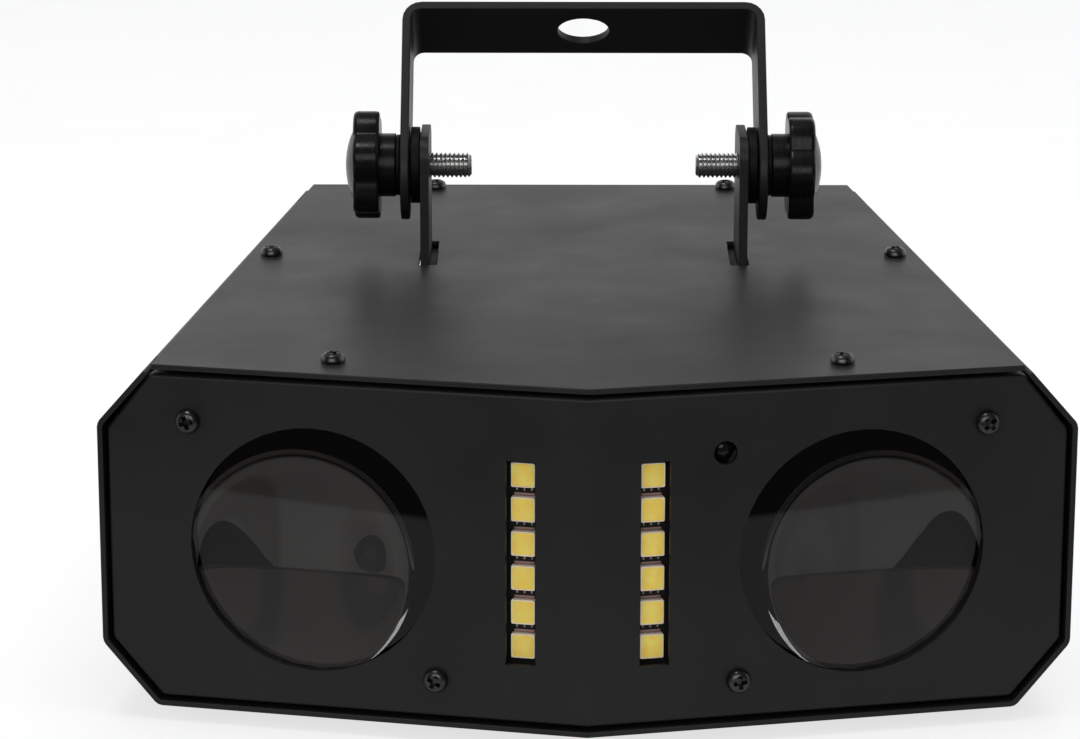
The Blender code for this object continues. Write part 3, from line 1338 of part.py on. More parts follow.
def star_outline(turn):
    """The lobed outline of a knob, turned by an angle."""
    count = STAR_LOBES * 6
    points = []
    for i in range(count):
        angle = 2.0 * math.pi * i / count
        swell = 0.5 + 0.5 * math.cos(STAR_LOBES * angle)
        radius = STAR_RADIUS - STAR_DEPTH * (1.0 - swell ** 0.6)
        points.append((radius * math.cos(angle + turn), radius * math.sin(angle + turn)))
    return points


def knob(side, sign):
    """A star knob with its hub, cap, bolt and washer, on the tilt axis."""
    turn = ALONG_X if sign > 0.0 else ALONG_MINUS_X
    star = flat_mesh("star", star_outline(STAR_TURN[side]), STAR_THICKNESS, rounding=STAR_ROUNDING)
    middle = sign * (STAR_START + STAR_THICKNESS / 2.0)
    obj = part("knob_" + side, star, PLASTIC, (middle, 0.0, 0.0), turn, AXIS)
    start = HUB_START - STAR_START
    cap = STAR_THICKNESS
    inside = STAR_THICKNESS / 2.0
    hub = [(0.0, inside), (HUB_RADIUS, inside), (HUB_RADIUS, start), (0.0, start)]
    dome = [
        (0.0, cap + DOME_HEIGHT),
        (DOME_RADIUS * 0.4, cap + DOME_HEIGHT * 0.88),
        (DOME_RADIUS * 0.75, cap + DOME_HEIGHT * 0.50),
        (DOME_RADIUS * 0.95, cap + DOME_HEIGHT * 0.12),
        (DOME_RADIUS, cap - DOME_HEIGHT * 0.3),
        (0.0, cap - DOME_HEIGHT * 0.3),
    ]
    at = (sign * STAR_START, 0.0, 0.0)
    boolean(obj, tool("hub_" + side, turned_mesh("hub", hub, 24), at, turn, AXIS), "UNION")
    boolean(obj, tool("dome_" + side, turned_mesh("dome", dome, 24), at, turn, AXIS), "UNION")
    reach = HUB_LENGTH + GAP
    bore = rod_mesh("bore", BOLT_HOLE, reach + BOLT_IN_KNOB + GAP - HUB_LENGTH, 20, -reach)
    boolean(obj, tool("knob_bore_" + side, bore, at, turn, AXIS))

    length = HUB_START + BOLT_IN_KNOB - BOLT_TIP
    chamfer = BOLT_RADIUS * 0.25
    bolt = [
        (0.0, length),
        (BOLT_RADIUS, length),
        (BOLT_RADIUS, chamfer),
        (BOLT_RADIUS - chamfer, 0.0),
        (0.0, 0.0),
    ]
    at = (sign * BOLT_TIP, 0.0, 0.0)
    part("bolt_" + side, turned_mesh("bolt", bolt, 20), STEEL, at, turn, AXIS)
    washer = ring_mesh("washer", WASHER_RADIUS, BOLT_HOLE, WASHER_THICKNESS, 20)
    part("washer_" + side, washer, BLACK_STEEL, (sign * WASHER_START, 0.0, 0.0), turn, AXIS)
    spacer = ring_mesh("spacer", SPACER_RADIUS, BOLT_HOLE, SPACER_THICKNESS, 24)
    part("spacer_" + side, spacer, BLACK_STEEL, (sign * SPACER_START, 0.0, 0.0), turn, AXIS)


def build():
    """Make every piece."""
    base_tray()
    top_cover()
    front_panel()
    rear_panel()
    feet()
    screws()
    lenses()
    strobe_strips()
    receiver()
    for side, sign in SIDES:
        pattern_wheel(side, sign)
        motor_shaft(side, sign)
        lamp_ring(side, sign)
        optics_bracket(side, sign)
        motor(side, sign)
        lug(side, sign)
        knob(side, sign)
    supply_board()
    control_board()
    sensitivity_knob()
    mains_inlet()
    signal_sockets()
    tilt_bracket()


build()
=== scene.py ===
"""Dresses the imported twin-lens LED flower effect light and sets it on a plain studio floor.

Metres, +Z up, the front faces -Y. Each piece is placed by the same named values as the CAD.
"""

import math

import bmesh
import bpy
from mathutils import Matrix, Vector
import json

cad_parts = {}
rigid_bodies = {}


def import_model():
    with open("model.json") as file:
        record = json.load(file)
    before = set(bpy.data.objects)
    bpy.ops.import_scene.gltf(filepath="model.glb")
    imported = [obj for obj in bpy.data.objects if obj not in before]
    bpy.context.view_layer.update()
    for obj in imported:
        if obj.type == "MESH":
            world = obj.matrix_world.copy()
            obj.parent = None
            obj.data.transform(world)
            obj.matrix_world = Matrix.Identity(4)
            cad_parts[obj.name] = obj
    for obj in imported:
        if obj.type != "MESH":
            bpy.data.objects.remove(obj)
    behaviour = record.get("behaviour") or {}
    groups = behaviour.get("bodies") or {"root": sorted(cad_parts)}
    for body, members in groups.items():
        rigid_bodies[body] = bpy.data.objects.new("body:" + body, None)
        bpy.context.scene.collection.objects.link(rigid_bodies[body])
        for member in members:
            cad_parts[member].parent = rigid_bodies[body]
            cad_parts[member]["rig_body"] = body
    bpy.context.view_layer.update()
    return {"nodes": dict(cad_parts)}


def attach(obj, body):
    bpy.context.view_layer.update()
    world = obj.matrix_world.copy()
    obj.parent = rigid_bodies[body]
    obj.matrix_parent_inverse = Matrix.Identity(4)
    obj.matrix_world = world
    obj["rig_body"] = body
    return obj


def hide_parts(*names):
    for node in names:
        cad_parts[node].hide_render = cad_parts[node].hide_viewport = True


for item in list(bpy.data.objects):
    bpy.data.objects.remove(item, do_unlink=True)

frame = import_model()

# Places and sizes, as in the CAD
FRONT_ANGLE = math.radians(12.33)
CREASE_Y = -0.103437
AXIS = Vector((0.0, 0.019137, 0.0984))
SIDES = (("left", -1.0), ("right", 1.0))

LENS_U = 0.0583
LENS_Z = 0.0397
LENS_RADIUS = 0.0290
LENS_CURVE = 0.0370
LENS_EDGE = 0.0020
LENS_FRONT = 0.0028

STRIP_U = 0.0142
LAMP_PITCH = 0.00734
LAMP_COUNT = 6
LAMP_WIDTH = 0.0050
LAMP_HEIGHT = 0.0052
LAMP_FRONT = 0.0027
LAMP_RIM = 0.00022
LAMP_CORNER = 0.0003
WELL_CORNER = 0.0007
JOINT_PITCH = 0.0016
JOINT_BELOW = 0.0008
TRACK_ABOVE = 0.00035
TRACK_SIZE = (0.0043, 0.00055, 0.0003)
BOARD_FRONT = 0.0043
BOARD_SIZE = (0.0090, 0.0620)
BOARD_THICKNESS = 0.0016
STUD_RADIUS = 0.00175
STUD_RISE = 0.0272

EYE_U = 0.0288
EYE_Z = 0.0626
EYE_RADIUS = 0.0021
EYE_FRONT = 0.0019
EYE_LENGTH = 0.0053

HEAD_RADIUS = 0.0026
HEAD_HEIGHT = 0.0018
SHANK_RADIUS = 0.00145
SHANK_LENGTH = 0.0070
FRONT_SCREWS = {
    "left": ((-0.0845, 0.0659), (-0.0321, 0.0135)),
    "right": ((0.0845, 0.0659), (0.0321, 0.0135)),
}
FRONT_SCREW_DEPTH = 0.0001
TOP_SCREWS = ((0.0526, -0.081763), (0.0721, 0.016437), (0.0362, 0.091037))
TOP_SCREW_Z = 0.0780

COVER_UNDER = 0.0765
SHEET_EDGE = 0.00022
COVER_EDGE = 0.00025
BRACKET_EDGE = 0.00035
LUG_EDGE = 0.00012
BUTTON_EDGE = 0.0002

WASHER = ("washer", 0.0423, 0.0070, 0.0008)
SPACER = ("spacer", 0.0377, 0.0088, 0.0020)
RING_BORE = 0.0032
HUB_START = 0.0434
HUB_REACH = 0.0002
STAR_START = 0.0469
STAR_RADIUS = 0.0128
STAR_DEPTH = 0.0018
STAR_THICKNESS = 0.0060
STAR_LOBES = 6
HUB_RADIUS = 0.0073
DOME_RADIUS = 0.0083
DOME_HEIGHT = 0.0019
BOLT_RADIUS = 0.0029
BOLT_START = 0.0258
BOLT_END = 0.0494
THREAD_PITCH = 0.0010
THREAD_DEPTH = 0.00052
BOLT_TIP_SHARE = 0.72

# What glossy and clear surfaces see of the floor is a painted reflection: on the table top a level that
# stands in for the object's shadow, dark beyond the table's front edge, lighter at its rear
TABLE_EDGE = (-0.2345, -0.2300)
PAINTED_TABLE_LEVELS = (0.05, 0.335)
TABLE_REAR = (-0.02, 0.16)
REAR_LEVEL = 0.45
FLOOR_GLOW = 0.72


# ---------------------------------------------------------------- materials


class Finish:
    """A principled material and its nodes."""

    def __init__(self, name, colour, roughness, metallic=0.0, **sockets):
        self.material = bpy.data.materials.new(name)
        self.material.use_nodes = True
        self.nodes = self.material.node_tree.nodes
        self.links = self.material.node_tree.links
        self.shader = self.nodes["Principled BSDF"]
        self.shader.inputs["Base Color"].default_value = (*colour, 1.0)
        self.shader.inputs["Roughness"].default_value = roughness
        self.shader.inputs["Metallic"].default_value = metallic
        for key, value in sockets.items():
            self.shader.inputs[key.replace("_", " ")].default_value = value
        self.place = self.add("ShaderNodeTexCoord").outputs["Object"]

    def add(self, kind, **inputs):
        """A node with its inputs set or linked."""
        node = self.nodes.new(kind)
        for key, value in inputs.items():
            self.put(node.inputs[key.replace("_", " ")], value)
        return node

    def put(self, socket, value):
        """Set a socket, or link it."""
        if isinstance(value, bpy.types.NodeSocket):
            self.links.new(value, socket)
        else:
            socket.default_value = value

    def noise(self, scale, detail=3.0, roughness=0.5, vector=None):
        """A noise field in metres."""
        node = self.add("ShaderNodeTexNoise", Vector=vector or self.place, Scale=scale, Detail=detail)
        node.inputs["Roughness"].default_value = roughness
        return node.outputs["Fac"]

    def stretched(self, scale):
        """The place, stretched along the axes."""
        return self.add("ShaderNodeMapping", Vector=self.place, Scale=scale).outputs["Vector"]

    def span(self, value, low, high, start=0.0, end=1.0):
        """A value's range mapped to another."""
        node = self.add("ShaderNodeMapRange", Value=value)
        for key, number in (("From Min", start), ("From Max", end), ("To Min", low), ("To Max", high)):
            node.inputs[key].default_value = number
        return node.outputs["Result"]

    def math(self, kind, first, second):
        """A sum, product or the like of two values."""
        node = self.add("ShaderNodeMath")
        node.operation = kind
        self.put(node.inputs[0], first)
        self.put(node.inputs[1], second)
        return node.outputs[0]

    def mixed(self, share, first, second):
        """Two shaders mixed."""
        node = self.add("ShaderNodeMixShader", Fac=share)
        self.links.new(first, node.inputs[1])
        self.links.new(second, node.inputs[2])
        return node.outputs[0]

    def finish(self, shader):
        """Send a shader to the surface."""
        self.links.new(shader, self.nodes["Material Output"].inputs["Surface"])
        return self.material

    def ramp(self, value, *stops):
        """A colour ramp with (position, colour) stops."""
        node = self.add("ShaderNodeValToRGB", Fac=value)
        points = node.color_ramp.elements
        while len(points) < len(stops):
            points.new(0.5)
        for point, (position, colour) in zip(points, stops):
            point.position = position
            point.color = (*colour, 1.0)
        return node.outputs["Color"]

    def bump(self, height, strength, distance, normal=None):
        """A bump from a height field; distance in metres."""
        node = self.add("ShaderNodeBump", Height=height)
        node.inputs["Strength"].default_value = strength
        node.inputs["Distance"].default_value = distance
        if normal is not None:
            self.links.new(normal, node.inputs["Normal"])
        return node.outputs["Normal"]

    def use(self, **sockets):
        """Link values to the shader's sockets."""
        for key, value in sockets.items():
            self.put(self.shader.inputs[key.replace("_", " ")], value)
        return self.material


def scaled(colour, factor):
    """A colour made lighter or darker."""
    return tuple(channel * factor for channel in colour)


def powder_coat(name, colour, roughness, specular, grain=1.0):
    """Black powder coat: fine orange peel and faint cloudiness."""
    finish = Finish(name, colour, roughness)
    finish.shader.inputs["Specular IOR Level"].default_value = specular
    cloud = finish.noise(38.0, 5.0, 0.6)
    peel = finish.noise(1500.0, 2.0, 0.55)
    fine = finish.noise(4200.0, 1.0)
    tone = finish.ramp(cloud, (0.30, scaled(colour, 0.82)), (0.72, scaled(colour, 1.18)))
    wave = finish.bump(finish.noise(260.0, 2.0), 0.18, 0.00006)
    skin = finish.bump(peel, 0.30 * grain, 0.00003, wave)
    skin = finish.bump(fine, 0.20 * grain, 0.000012, skin)
    gloss = finish.span(cloud, roughness - 0.04, roughness + 0.05, 0.3, 0.7)
    return finish.use(Base_Color=tone, Roughness=gloss, Normal=skin)


def moulded(name, colour, roughness, specular=0.5):
    """Moulded black plastic with a fine satin skin and faint handling marks."""
    finish = Finish(name, colour, roughness)
    finish.shader.inputs["Specular IOR Level"].default_value = specular
    skin = finish.bump(finish.noise(2600.0, 2.0), 0.16, 0.00002)
    marks = finish.noise(1.0, 3.0, 0.7, finish.stretched((900.0, 120.0, 260.0)))
    gloss = finish.span(marks, roughness - 0.05, roughness + 0.09, 0.35, 0.7)
    tone = finish.ramp(finish.noise(90.0, 3.0), (0.3, scaled(colour, 0.85)), (0.7, scaled(colour, 1.2)))
    return finish.use(Base_Color=tone, Roughness=gloss, Normal=skin)


def metal(name, colour, roughness, brushed=(1.0, 1.0, 1.0), scale=700.0, spots=None):
    """Bare or plated metal with fine tool marks and slight tarnish."""
    finish = Finish(name, colour, roughness, 1.0)
    lines = finish.noise(scale, 3.0, 0.6, finish.stretched(brushed))
    stain = finish.noise(160.0, 4.0, 0.6)
    dark = spots or scaled(colour, 0.72)
    tone = finish.ramp(stain, (0.34, dark), (0.62, colour))
    gloss = finish.span(lines, roughness - 0.07, roughness + 0.10, 0.3, 0.7)
    return finish.use(Base_Color=tone, Roughness=gloss, Normal=finish.bump(lines, 0.20, 0.00002))


def lens_glass(name, coated=False):
    """Clear optical glass with a trace of dust; light reaches what lies behind it.

    A coated face keeps only a trace of its inner reflections.
    """
    finish = Finish(name, (0.97, 0.985, 0.98), 0.0)
    finish.shader.inputs["Transmission Weight"].default_value = 1.0
    finish.shader.inputs["IOR"].default_value = 1.52
    dust = finish.noise(420.0, 4.0, 0.7)
    finish.use(Roughness=finish.span(dust, 0.0, 0.03, 0.56, 0.8))
    path = finish.add("ShaderNodeLightPath")
    clear = finish.add("ShaderNodeBsdfTransparent").outputs[0]
    body = finish.shader.outputs[0]
    if coated:
        bent = finish.add("ShaderNodeBsdfRefraction", IOR=1.52, Roughness=0.0).outputs[0]
        body = finish.mixed(0.03, bent, body)
    return finish.finish(finish.mixed(path.outputs["Is Shadow Ray"], body, clear))


def phosphor(name):
    """The yellow silicone over a white lamp's chips, slightly uneven."""
    finish = Finish(name, (0.80, 0.60, 0.09), 0.30)
    pool = finish.noise(420.0, 2.0)
    tone = finish.ramp(pool, (0.35, (0.83, 0.56, 0.075)), (0.65, (0.80, 0.64, 0.12)))
    skin = finish.bump(finish.noise(900.0, 2.0), 0.10, 0.00004)
    return finish.use(Base_Color=tone, Normal=skin)


def board_mask(name, colour, roughness=0.35):
    """Solder mask over copper: faint tracks and a glossy, uneven coat."""
    finish = Finish(name, colour, roughness)
    cells = finish.add("ShaderNodeTexBrick", Vector=finish.place, Scale=170.0, Mortar_Size=0.012)
    mottled = finish.noise(900.0, 2.0)
    tone = finish.ramp(mottled, (0.3, scaled(colour, 0.85)), (0.7, scaled(colour, 1.12)))
    return finish.use(Base_Color=tone, Normal=finish.bump(cells.outputs["Fac"], 0.25, 0.00004))


def brushed_paint(name, light, dark, roughness):
    """A thin dark coat over sheet, with soft upright streaks and handling marks."""
    finish = Finish(name, light, roughness)
    streaks = finish.noise(1.0, 2.0, 0.5, finish.stretched((170.0, 60.0, 9.0)))
    fine = finish.noise(1.0, 3.0, 0.6, finish.stretched((1400.0, 900.0, 60.0)))
    tone = finish.ramp(streaks, (0.40, dark), (0.52, light))
    gloss = finish.span(fine, roughness - 0.08, roughness + 0.10, 0.3, 0.7)
    return finish.use(Base_Color=tone, Roughness=gloss, Normal=finish.bump(fine, 0.2, 0.00002))


def rubber(name):
    """Matt black rubber with moulding grain."""
    finish = Finish(name, (0.018, 0.018, 0.018), 0.85)
    finish.shader.inputs["Specular IOR Level"].default_value = 0.3
    grain = finish.noise(1900.0, 3.0)
    patches = finish.noise(300.0, 3.0)
    tone = finish.ramp(patches, (0.3, (0.014, 0.014, 0.014)), (0.7, (0.026, 0.026, 0.026)))
    return finish.use(Base_Color=tone, Normal=finish.bump(grain, 0.3, 0.00004))


def window(name, colour, roughness=0.08):
    """A dark glossy window with faint wipe marks."""
    finish = Finish(name, colour, roughness)
    wipe = finish.noise(1.0, 3.0, 0.6, finish.stretched((60.0, 60.0, 700.0)))
    gloss = finish.span(wipe, roughness * 0.6, roughness * 2.2, 0.35, 0.7)
    tone = finish.ramp(wipe, (0.3, scaled(colour, 0.9)), (0.7, scaled(colour, 1.15)))
    return finish.use(Base_Color=tone, Roughness=gloss)


HOUSING = powder_coat("powder_coat", (0.0075, 0.0075, 0.0078), 0.46, 0.5)
COVER = powder_coat("powder_coat_cover", (0.012, 0.012, 0.0122), 0.42, 0.35, 0.8)
PLASTIC = moulded("black_plastic", (0.008, 0.008, 0.008), 0.42, 0.35)
KNOB_PLASTIC = moulded("knob_plastic", (0.0032, 0.0032, 0.0034), 0.26, 0.32)
GLASS = lens_glass("lens_glass")
COATED_GLASS = lens_glass("lens_glass_coated", True)
BLACK_STEEL = metal("black_steel", (0.13, 0.13, 0.135), 0.30, scale=1500.0)
SPACER_BLACK = moulded("spacer_black", (0.0045, 0.0045, 0.0045), 0.50, 0.22)
POLISHED = metal("polished_steel", (0.86, 0.86, 0.85), 0.34, scale=1600.0, spots=(0.74, 0.74, 0.73))
GROUND_EDGE = moulded("ground_lens_edge", (0.010, 0.011, 0.011), 0.7, 0.2)
STEEL = metal("plated_steel", (0.78, 0.78, 0.77), 0.22, scale=1600.0, spots=(0.66, 0.66, 0.65))
ALUMINIUM = metal("aluminium_sheet", (0.66, 0.67, 0.68), 0.36, (1.0, 1.0, 14.0))
PHOSPHOR = phosphor("lamp_phosphor")
LAMP_BODY = moulded("lamp_body", (0.74, 0.63, 0.52), 0.45)
PAD_EDGE = moulded("pad_edge", (0.30, 0.18, 0.16), 0.40)
SOLDER = metal("solder", (0.72, 0.66, 0.64), 0.22, scale=2400.0)
LAMP_BOARD = board_mask("lamp_board", (0.004, 0.003, 0.003), 0.55)
RING_BOARD = board_mask("ring_board", (0.62, 0.60, 0.58))
CIRCUIT_BOARD = board_mask("circuit_board", (0.020, 0.085, 0.040))
RUBBER = rubber("rubber")
DISPLAY = window("display_window", (0.020, 0.004, 0.004))
EYE = window("receiver_eye", (0.006, 0.004, 0.006), 0.12)
OPTICS_BLACK = moulded("optics_black", (0.0035, 0.0035, 0.0035), 0.55, 0.25)
WHEEL_PAINT = brushed_paint("wheel_finish", (0.160, 0.150, 0.144), (0.108, 0.096, 0.090), 0.55)
OPTICS_PAINT = brushed_paint("optics_sheet", (0.058, 0.045, 0.040), (0.024, 0.020, 0.018), 0.50)
DARK_BOARD = board_mask("dark_board", (0.012, 0.014, 0.012))

SLOT_OF = {
    "housing_paint": HOUSING,
    "cover_paint": COVER,
    "lens_glass": GLASS,
    "black_plastic": PLASTIC,
    "knob_plastic": KNOB_PLASTIC,
    "display_window": DISPLAY,
    "plated_steel": STEEL,
    "black_steel": BLACK_STEEL,
    "aluminium_sheet": ALUMINIUM,
    "lamp_board": LAMP_BOARD,
    "circuit_board": CIRCUIT_BOARD,
    "rubber": RUBBER,
}


# ---------------------------------------------------------------- mesh tools


def smoothed(mesh, angle=38.0):
    """A mesh shaded smooth up to an angle."""
    mesh.shade_smooth()
    mesh.set_sharp_from_angle(angle=math.radians(angle))
    return mesh


def mesh_of(work, angle=38.0):
    """A bmesh turned into a smooth mesh that keeps its sharp edges."""
    bmesh.ops.recalc_face_normals(work, faces=work.faces)
    mesh = bpy.data.meshes.new("mesh")
    work.to_mesh(mesh)
    work.free()
    return smoothed(mesh, angle)


def moved(mesh, matrix):
    """A copy of a mesh at a place."""
    made = mesh.copy()
    made.transform(matrix)
    if matrix.determinant() < 0.0:
        made.flip_normals()
    return made


def applied(mesh, *steps):
    """A mesh with modifiers applied. Each step is (type, settings)."""
    obj = bpy.data.objects.new("work", mesh)
    bpy.context.scene.collection.objects.link(obj)
    for kind, settings in steps:
        modifier = obj.modifiers.new(kind, kind)
        for key, value in settings.items():
            setattr(modifier, key, value)
    graph = bpy.context.evaluated_depsgraph_get()
    made = bpy.data.meshes.new_from_object(obj.evaluated_get(graph))
    bpy.data.objects.remove(obj, do_unlink=True)
    return made


def rounding(width, segments=3, held=False):
    """A small round on every sharp edge, held back where faces would overlap."""
    return (
        "BEVEL",
        {
            "width": width,
            "segments": segments,
            "limit_method": "ANGLE",
            "angle_limit": math.radians(32.0),
            "use_clamp_overlap": held,
            "miter_outer": "MITER_ARC",
        },
    )


EVEN_NORMALS = ("WEIGHTED_NORMAL", {"keep_sharp": True, "weight": 80})


def soft_corners(points, radius, steps=3, closed=False):
    """A line of points whose corners are rounded."""
    count = len(points)
    made = []
    for i, point in enumerate(points):
        here = Vector(point)
        if not closed and i in (0, count - 1):
            made.append(tuple(here))
            continue
        before, after = Vector(points[i - 1]), Vector(points[(i + 1) % count])
        reach = min(radius, (before - here).length * 0.45, (after - here).length * 0.45)
        start = here + (before - here).normalized() * reach
        end = here + (after - here).normalized() * reach
        for k in range(steps + 1):
            t = k / steps
            made.append(tuple(start * (1 - t) ** 2 + here * 2 * t * (1 - t) + end * t * t))
    return made


def loft(rings, closed_ends=True, wrap=False):
    """A skin over rings of points; a ring of one point closes the end."""
    work = bmesh.new()
    made = [[work.verts.new(point) for point in ring] for ring in rings]
    pairs = list(zip(made[:-1], made[1:]))
    if wrap:
        pairs.append((made[-1], made[0]))
    for low, high in pairs:
        count = max(len(low), len(high))
        for i in range(count):
            j = (i + 1) % count
            corners = [low[0]] if len(low) == 1 else [low[i], low[j]]
            corners += [high[0]] if len(high) == 1 else [high[j], high[i]]
            work.faces.new(corners)
    if closed_ends and not wrap:
        for ring in (made[0], made[-1]):
            if len(ring) > 2:
                work.faces.new(ring)
    return work


def turned(profile, segments=48, radius=0.0, closed=False):
    """A turned solid about Z from (radius, height) points."""
    if radius:
        profile = soft_corners(profile, radius, 3, closed)
    rings = []
    for r, z in profile:
        if r < 1e-7:
            rings.append([(0.0, 0.0, z)])
            continue
        turn = [2.0 * math.pi * i / segments for i in range(segments)]
        rings.append([(r * math.cos(a), r * math.sin(a), z) for a in turn])
    return mesh_of(loft(rings, not closed, closed))


def box(size, radius):
    """A block with rounded edges."""
    work = bmesh.new()
    bmesh.ops.create_cube(work, size=1.0)
    bmesh.ops.scale(work, vec=size, verts=work.verts)
    return applied(mesh_of(work), rounding(radius, 2))


def rectangle(width, height):
    """The corners of a rectangle about the origin."""
    w, h = width / 2.0, height / 2.0
    return [(-w, -h), (w, -h), (w, h), (-w, h)]


def plate(outline, thickness, holes=(), radius=0.0, segments=2):
    """A flat plate in XY, centred on Z, with rounded rims."""
    curve = bpy.data.curves.new("plate", "CURVE")
    curve.dimensions = "2D"
    curve.fill_mode = "BOTH"
    curve.extrude = thickness / 2.0 - radius
    curve.bevel_depth = radius
    curve.bevel_resolution = segments - 1
    curve.offset = -radius
    for loop in (outline, *holes):
        spline = curve.splines.new("POLY")
        spline.points.add(len(loop) - 1)
        for point, (x, y) in zip(spline.points, loop):
            point.co = (x, y, 0.0, 1.0)
        spline.use_cyclic_u = True
    obj = bpy.data.objects.new("plate", curve)
    bpy.context.scene.collection.objects.link(obj)
    graph = bpy.context.evaluated_depsgraph_get()
    mesh = bpy.data.meshes.new_from_object(obj.evaluated_get(graph))
    bpy.data.objects.remove(obj, do_unlink=True)
    work = bmesh.new()
    work.from_mesh(mesh)
    bmesh.ops.remove_doubles(work, verts=work.verts, dist=0.000001)
    return mesh_of(work)


def ring_points(radius, centre=(0.0, 0.0), segments=48):
    """Points around a circle."""
    turn = [2.0 * math.pi * i / segments for i in range(segments)]
    return [(centre[0] + radius * math.cos(a), centre[1] + radius * math.sin(a)) for a in turn]


def cut(mesh, cutter):
    """A mesh cut with another."""
    other = bpy.data.objects.new("cutter", cutter)
    bpy.context.scene.collection.objects.link(other)
    made = applied(mesh, ("BOOLEAN", {"object": other, "operation": "DIFFERENCE", "solver": "EXACT"}))
    bpy.data.objects.remove(other, do_unlink=True)
    return smoothed(made)


def piece(name, parts, body, nodes=()):
    """One object from (mesh, material) pairs. It rides on a body and may stand for CAD nodes."""
    work = bmesh.new()
    materials = []
    for mesh, material in parts:
        if material not in materials:
            materials.append(material)
        before = len(work.faces)
        work.from_mesh(mesh)
        work.faces.ensure_lookup_table()
        for face in work.faces[before:]:
            face.material_index = materials.index(material)
    mesh = bpy.data.meshes.new(name)
    work.to_mesh(mesh)
    work.free()
    for material in materials:
        mesh.materials.append(material)
    mesh = applied(mesh, EVEN_NORMALS)
    mesh.name = name
    obj = bpy.data.objects.new(name, mesh)
    bpy.context.scene.collection.objects.link(obj)
    if nodes:
        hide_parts(*nodes)
    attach(obj, body)
    return obj


def node_body(node):
    """The body a CAD node rides on."""
    return frame["nodes"][node]["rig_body"]


def node_slot(node):
    """A CAD node's material slot."""
    return frame["nodes"][node].data.materials[0].name.split(".")[0]


# Pieces whose flat faces stay in triangles, as one polygon with their holes would not hold
KEPT_FACETS = ("rear_panel", "lug_left", "lug_right")


def node_mesh(node, edge=0.0, segments=2):
    """A clean copy of a CAD node's mesh, its edges rounded."""
    work = bmesh.new()
    work.from_mesh(frame["nodes"][node].data)
    bmesh.ops.remove_doubles(work, verts=work.verts, dist=0.000002)
    facets = node in KEPT_FACETS
    if not facets:
        flat = math.radians(0.6)
        bmesh.ops.dissolve_limit(work, angle_limit=flat, verts=work.verts, edges=work.edges)
    mesh = mesh_of(work)
    if edge:
        mesh = smoothed(applied(mesh, rounding(edge, segments, facets)), 50.0)
    return mesh


def dressed(node, edge=0.0, segments=2, material=None):
    """A CAD node's shape with rounded edges and its full finish."""
    slot = node_slot(node)
    parts = [(node_mesh(node, edge, segments), material or SLOT_OF[slot])]
    return piece(node + "_shell", parts, node_body(node), (node,))


def facet(side_sign):
    """The frame of one half of the front."""
    return Matrix.Translation((0.0, CREASE_Y, 0.0)) @ Matrix.Rotation(side_sign * FRONT_ANGLE, 4, "Z")


INWARD = Matrix.Rotation(-math.pi / 2.0, 4, "X")
OUTWARD = Matrix.Rotation(math.pi / 2.0, 4, "X")


def on_facet(sign, u, z, depth, way=INWARD):
    """A place on the front whose Z axis runs inwards, or outwards."""
    return facet(sign) @ Matrix.Translation((u, depth, z)) @ way


def on_axis(sign, x):
    """A place on the tilt axis whose Z axis runs outwards."""
    way = Matrix.Rotation(sign * math.pi / 2.0, 4, "Y")
    return Matrix.Translation((sign * x, AXIS.y, AXIS.z)) @ way


# ---------------------------------------------------------------- pieces


def phillips_screw():
    """A pan head screw with a cross recess; the head stands above Z = 0."""
    h, r = HEAD_HEIGHT, HEAD_RADIUS
    profile = [
        (0.0, h),
        (r * 0.35, h * 0.985),
        (r * 0.58, h * 0.92),
        (r * 0.76, h * 0.80),
        (r * 0.88, h * 0.62),
        (r * 0.955, h * 0.40),
        (r * 0.99, h * 0.18),
        (r, h * 0.05),
        (r * 0.985, 0.0),
        (SHANK_RADIUS, 0.0),
        (SHANK_RADIUS, -SHANK_LENGTH),
        (0.0, -SHANK_LENGTH),
    ]
    head = turned(profile, 32)
    arm, width, deep = r * 0.60, r * 0.18, h * 0.72
    rings = []
    for z, share in ((h * 1.2, 1.06), (h - deep * 0.55, 0.80), (h - deep, 0.34)):
        a, w = arm * share, width * (0.62 + 0.38 * share)
        loop = [(a, -w), (a, w), (w, w), (w, a), (-w, a), (-w, w), (-a, w), (-a, -w)]
        loop += [(-w, -w), (-w, -a), (w, -a), (w, -w)]
        rings.append([(x, y, z) for x, y in loop])
    return cut(head, mesh_of(loft(rings)))


SCREW = phillips_screw()


def screw(node, at, turn):
    """One screw at its place, turned about its own axis."""
    mesh = moved(SCREW, at @ Matrix.Rotation(turn, 4, "Z"))
    piece(node + "_cross_head", [(mesh, BLACK_STEEL)], "housing", (node,))


def screws():
    """The front screws and the cover's screws, each turned its own way."""
    turns = iter((0.30, 1.10, 0.72, 0.12, 0.50, 1.22, 0.05, 0.85, 0.40, 1.00))
    for side, sign in SIDES:
        for index, (u, z) in enumerate(FRONT_SCREWS[side], 1):
            at = on_facet(sign, u, z, FRONT_SCREW_DEPTH, OUTWARD)
            screw("front_screw_%s_%d" % (side, index), at, next(turns))
    index = 0
    for x, y in TOP_SCREWS:
        for sign in (-1.0, 1.0):
            index += 1
            at = Matrix.Translation((sign * x, y, TOP_SCREW_Z))
            screw("top_screw_%d" % index, at, next(turns))


def lens_sag(radius):
    """How far the convex face falls back from its vertex."""
    return LENS_CURVE - math.sqrt(LENS_CURVE ** 2 - radius ** 2)


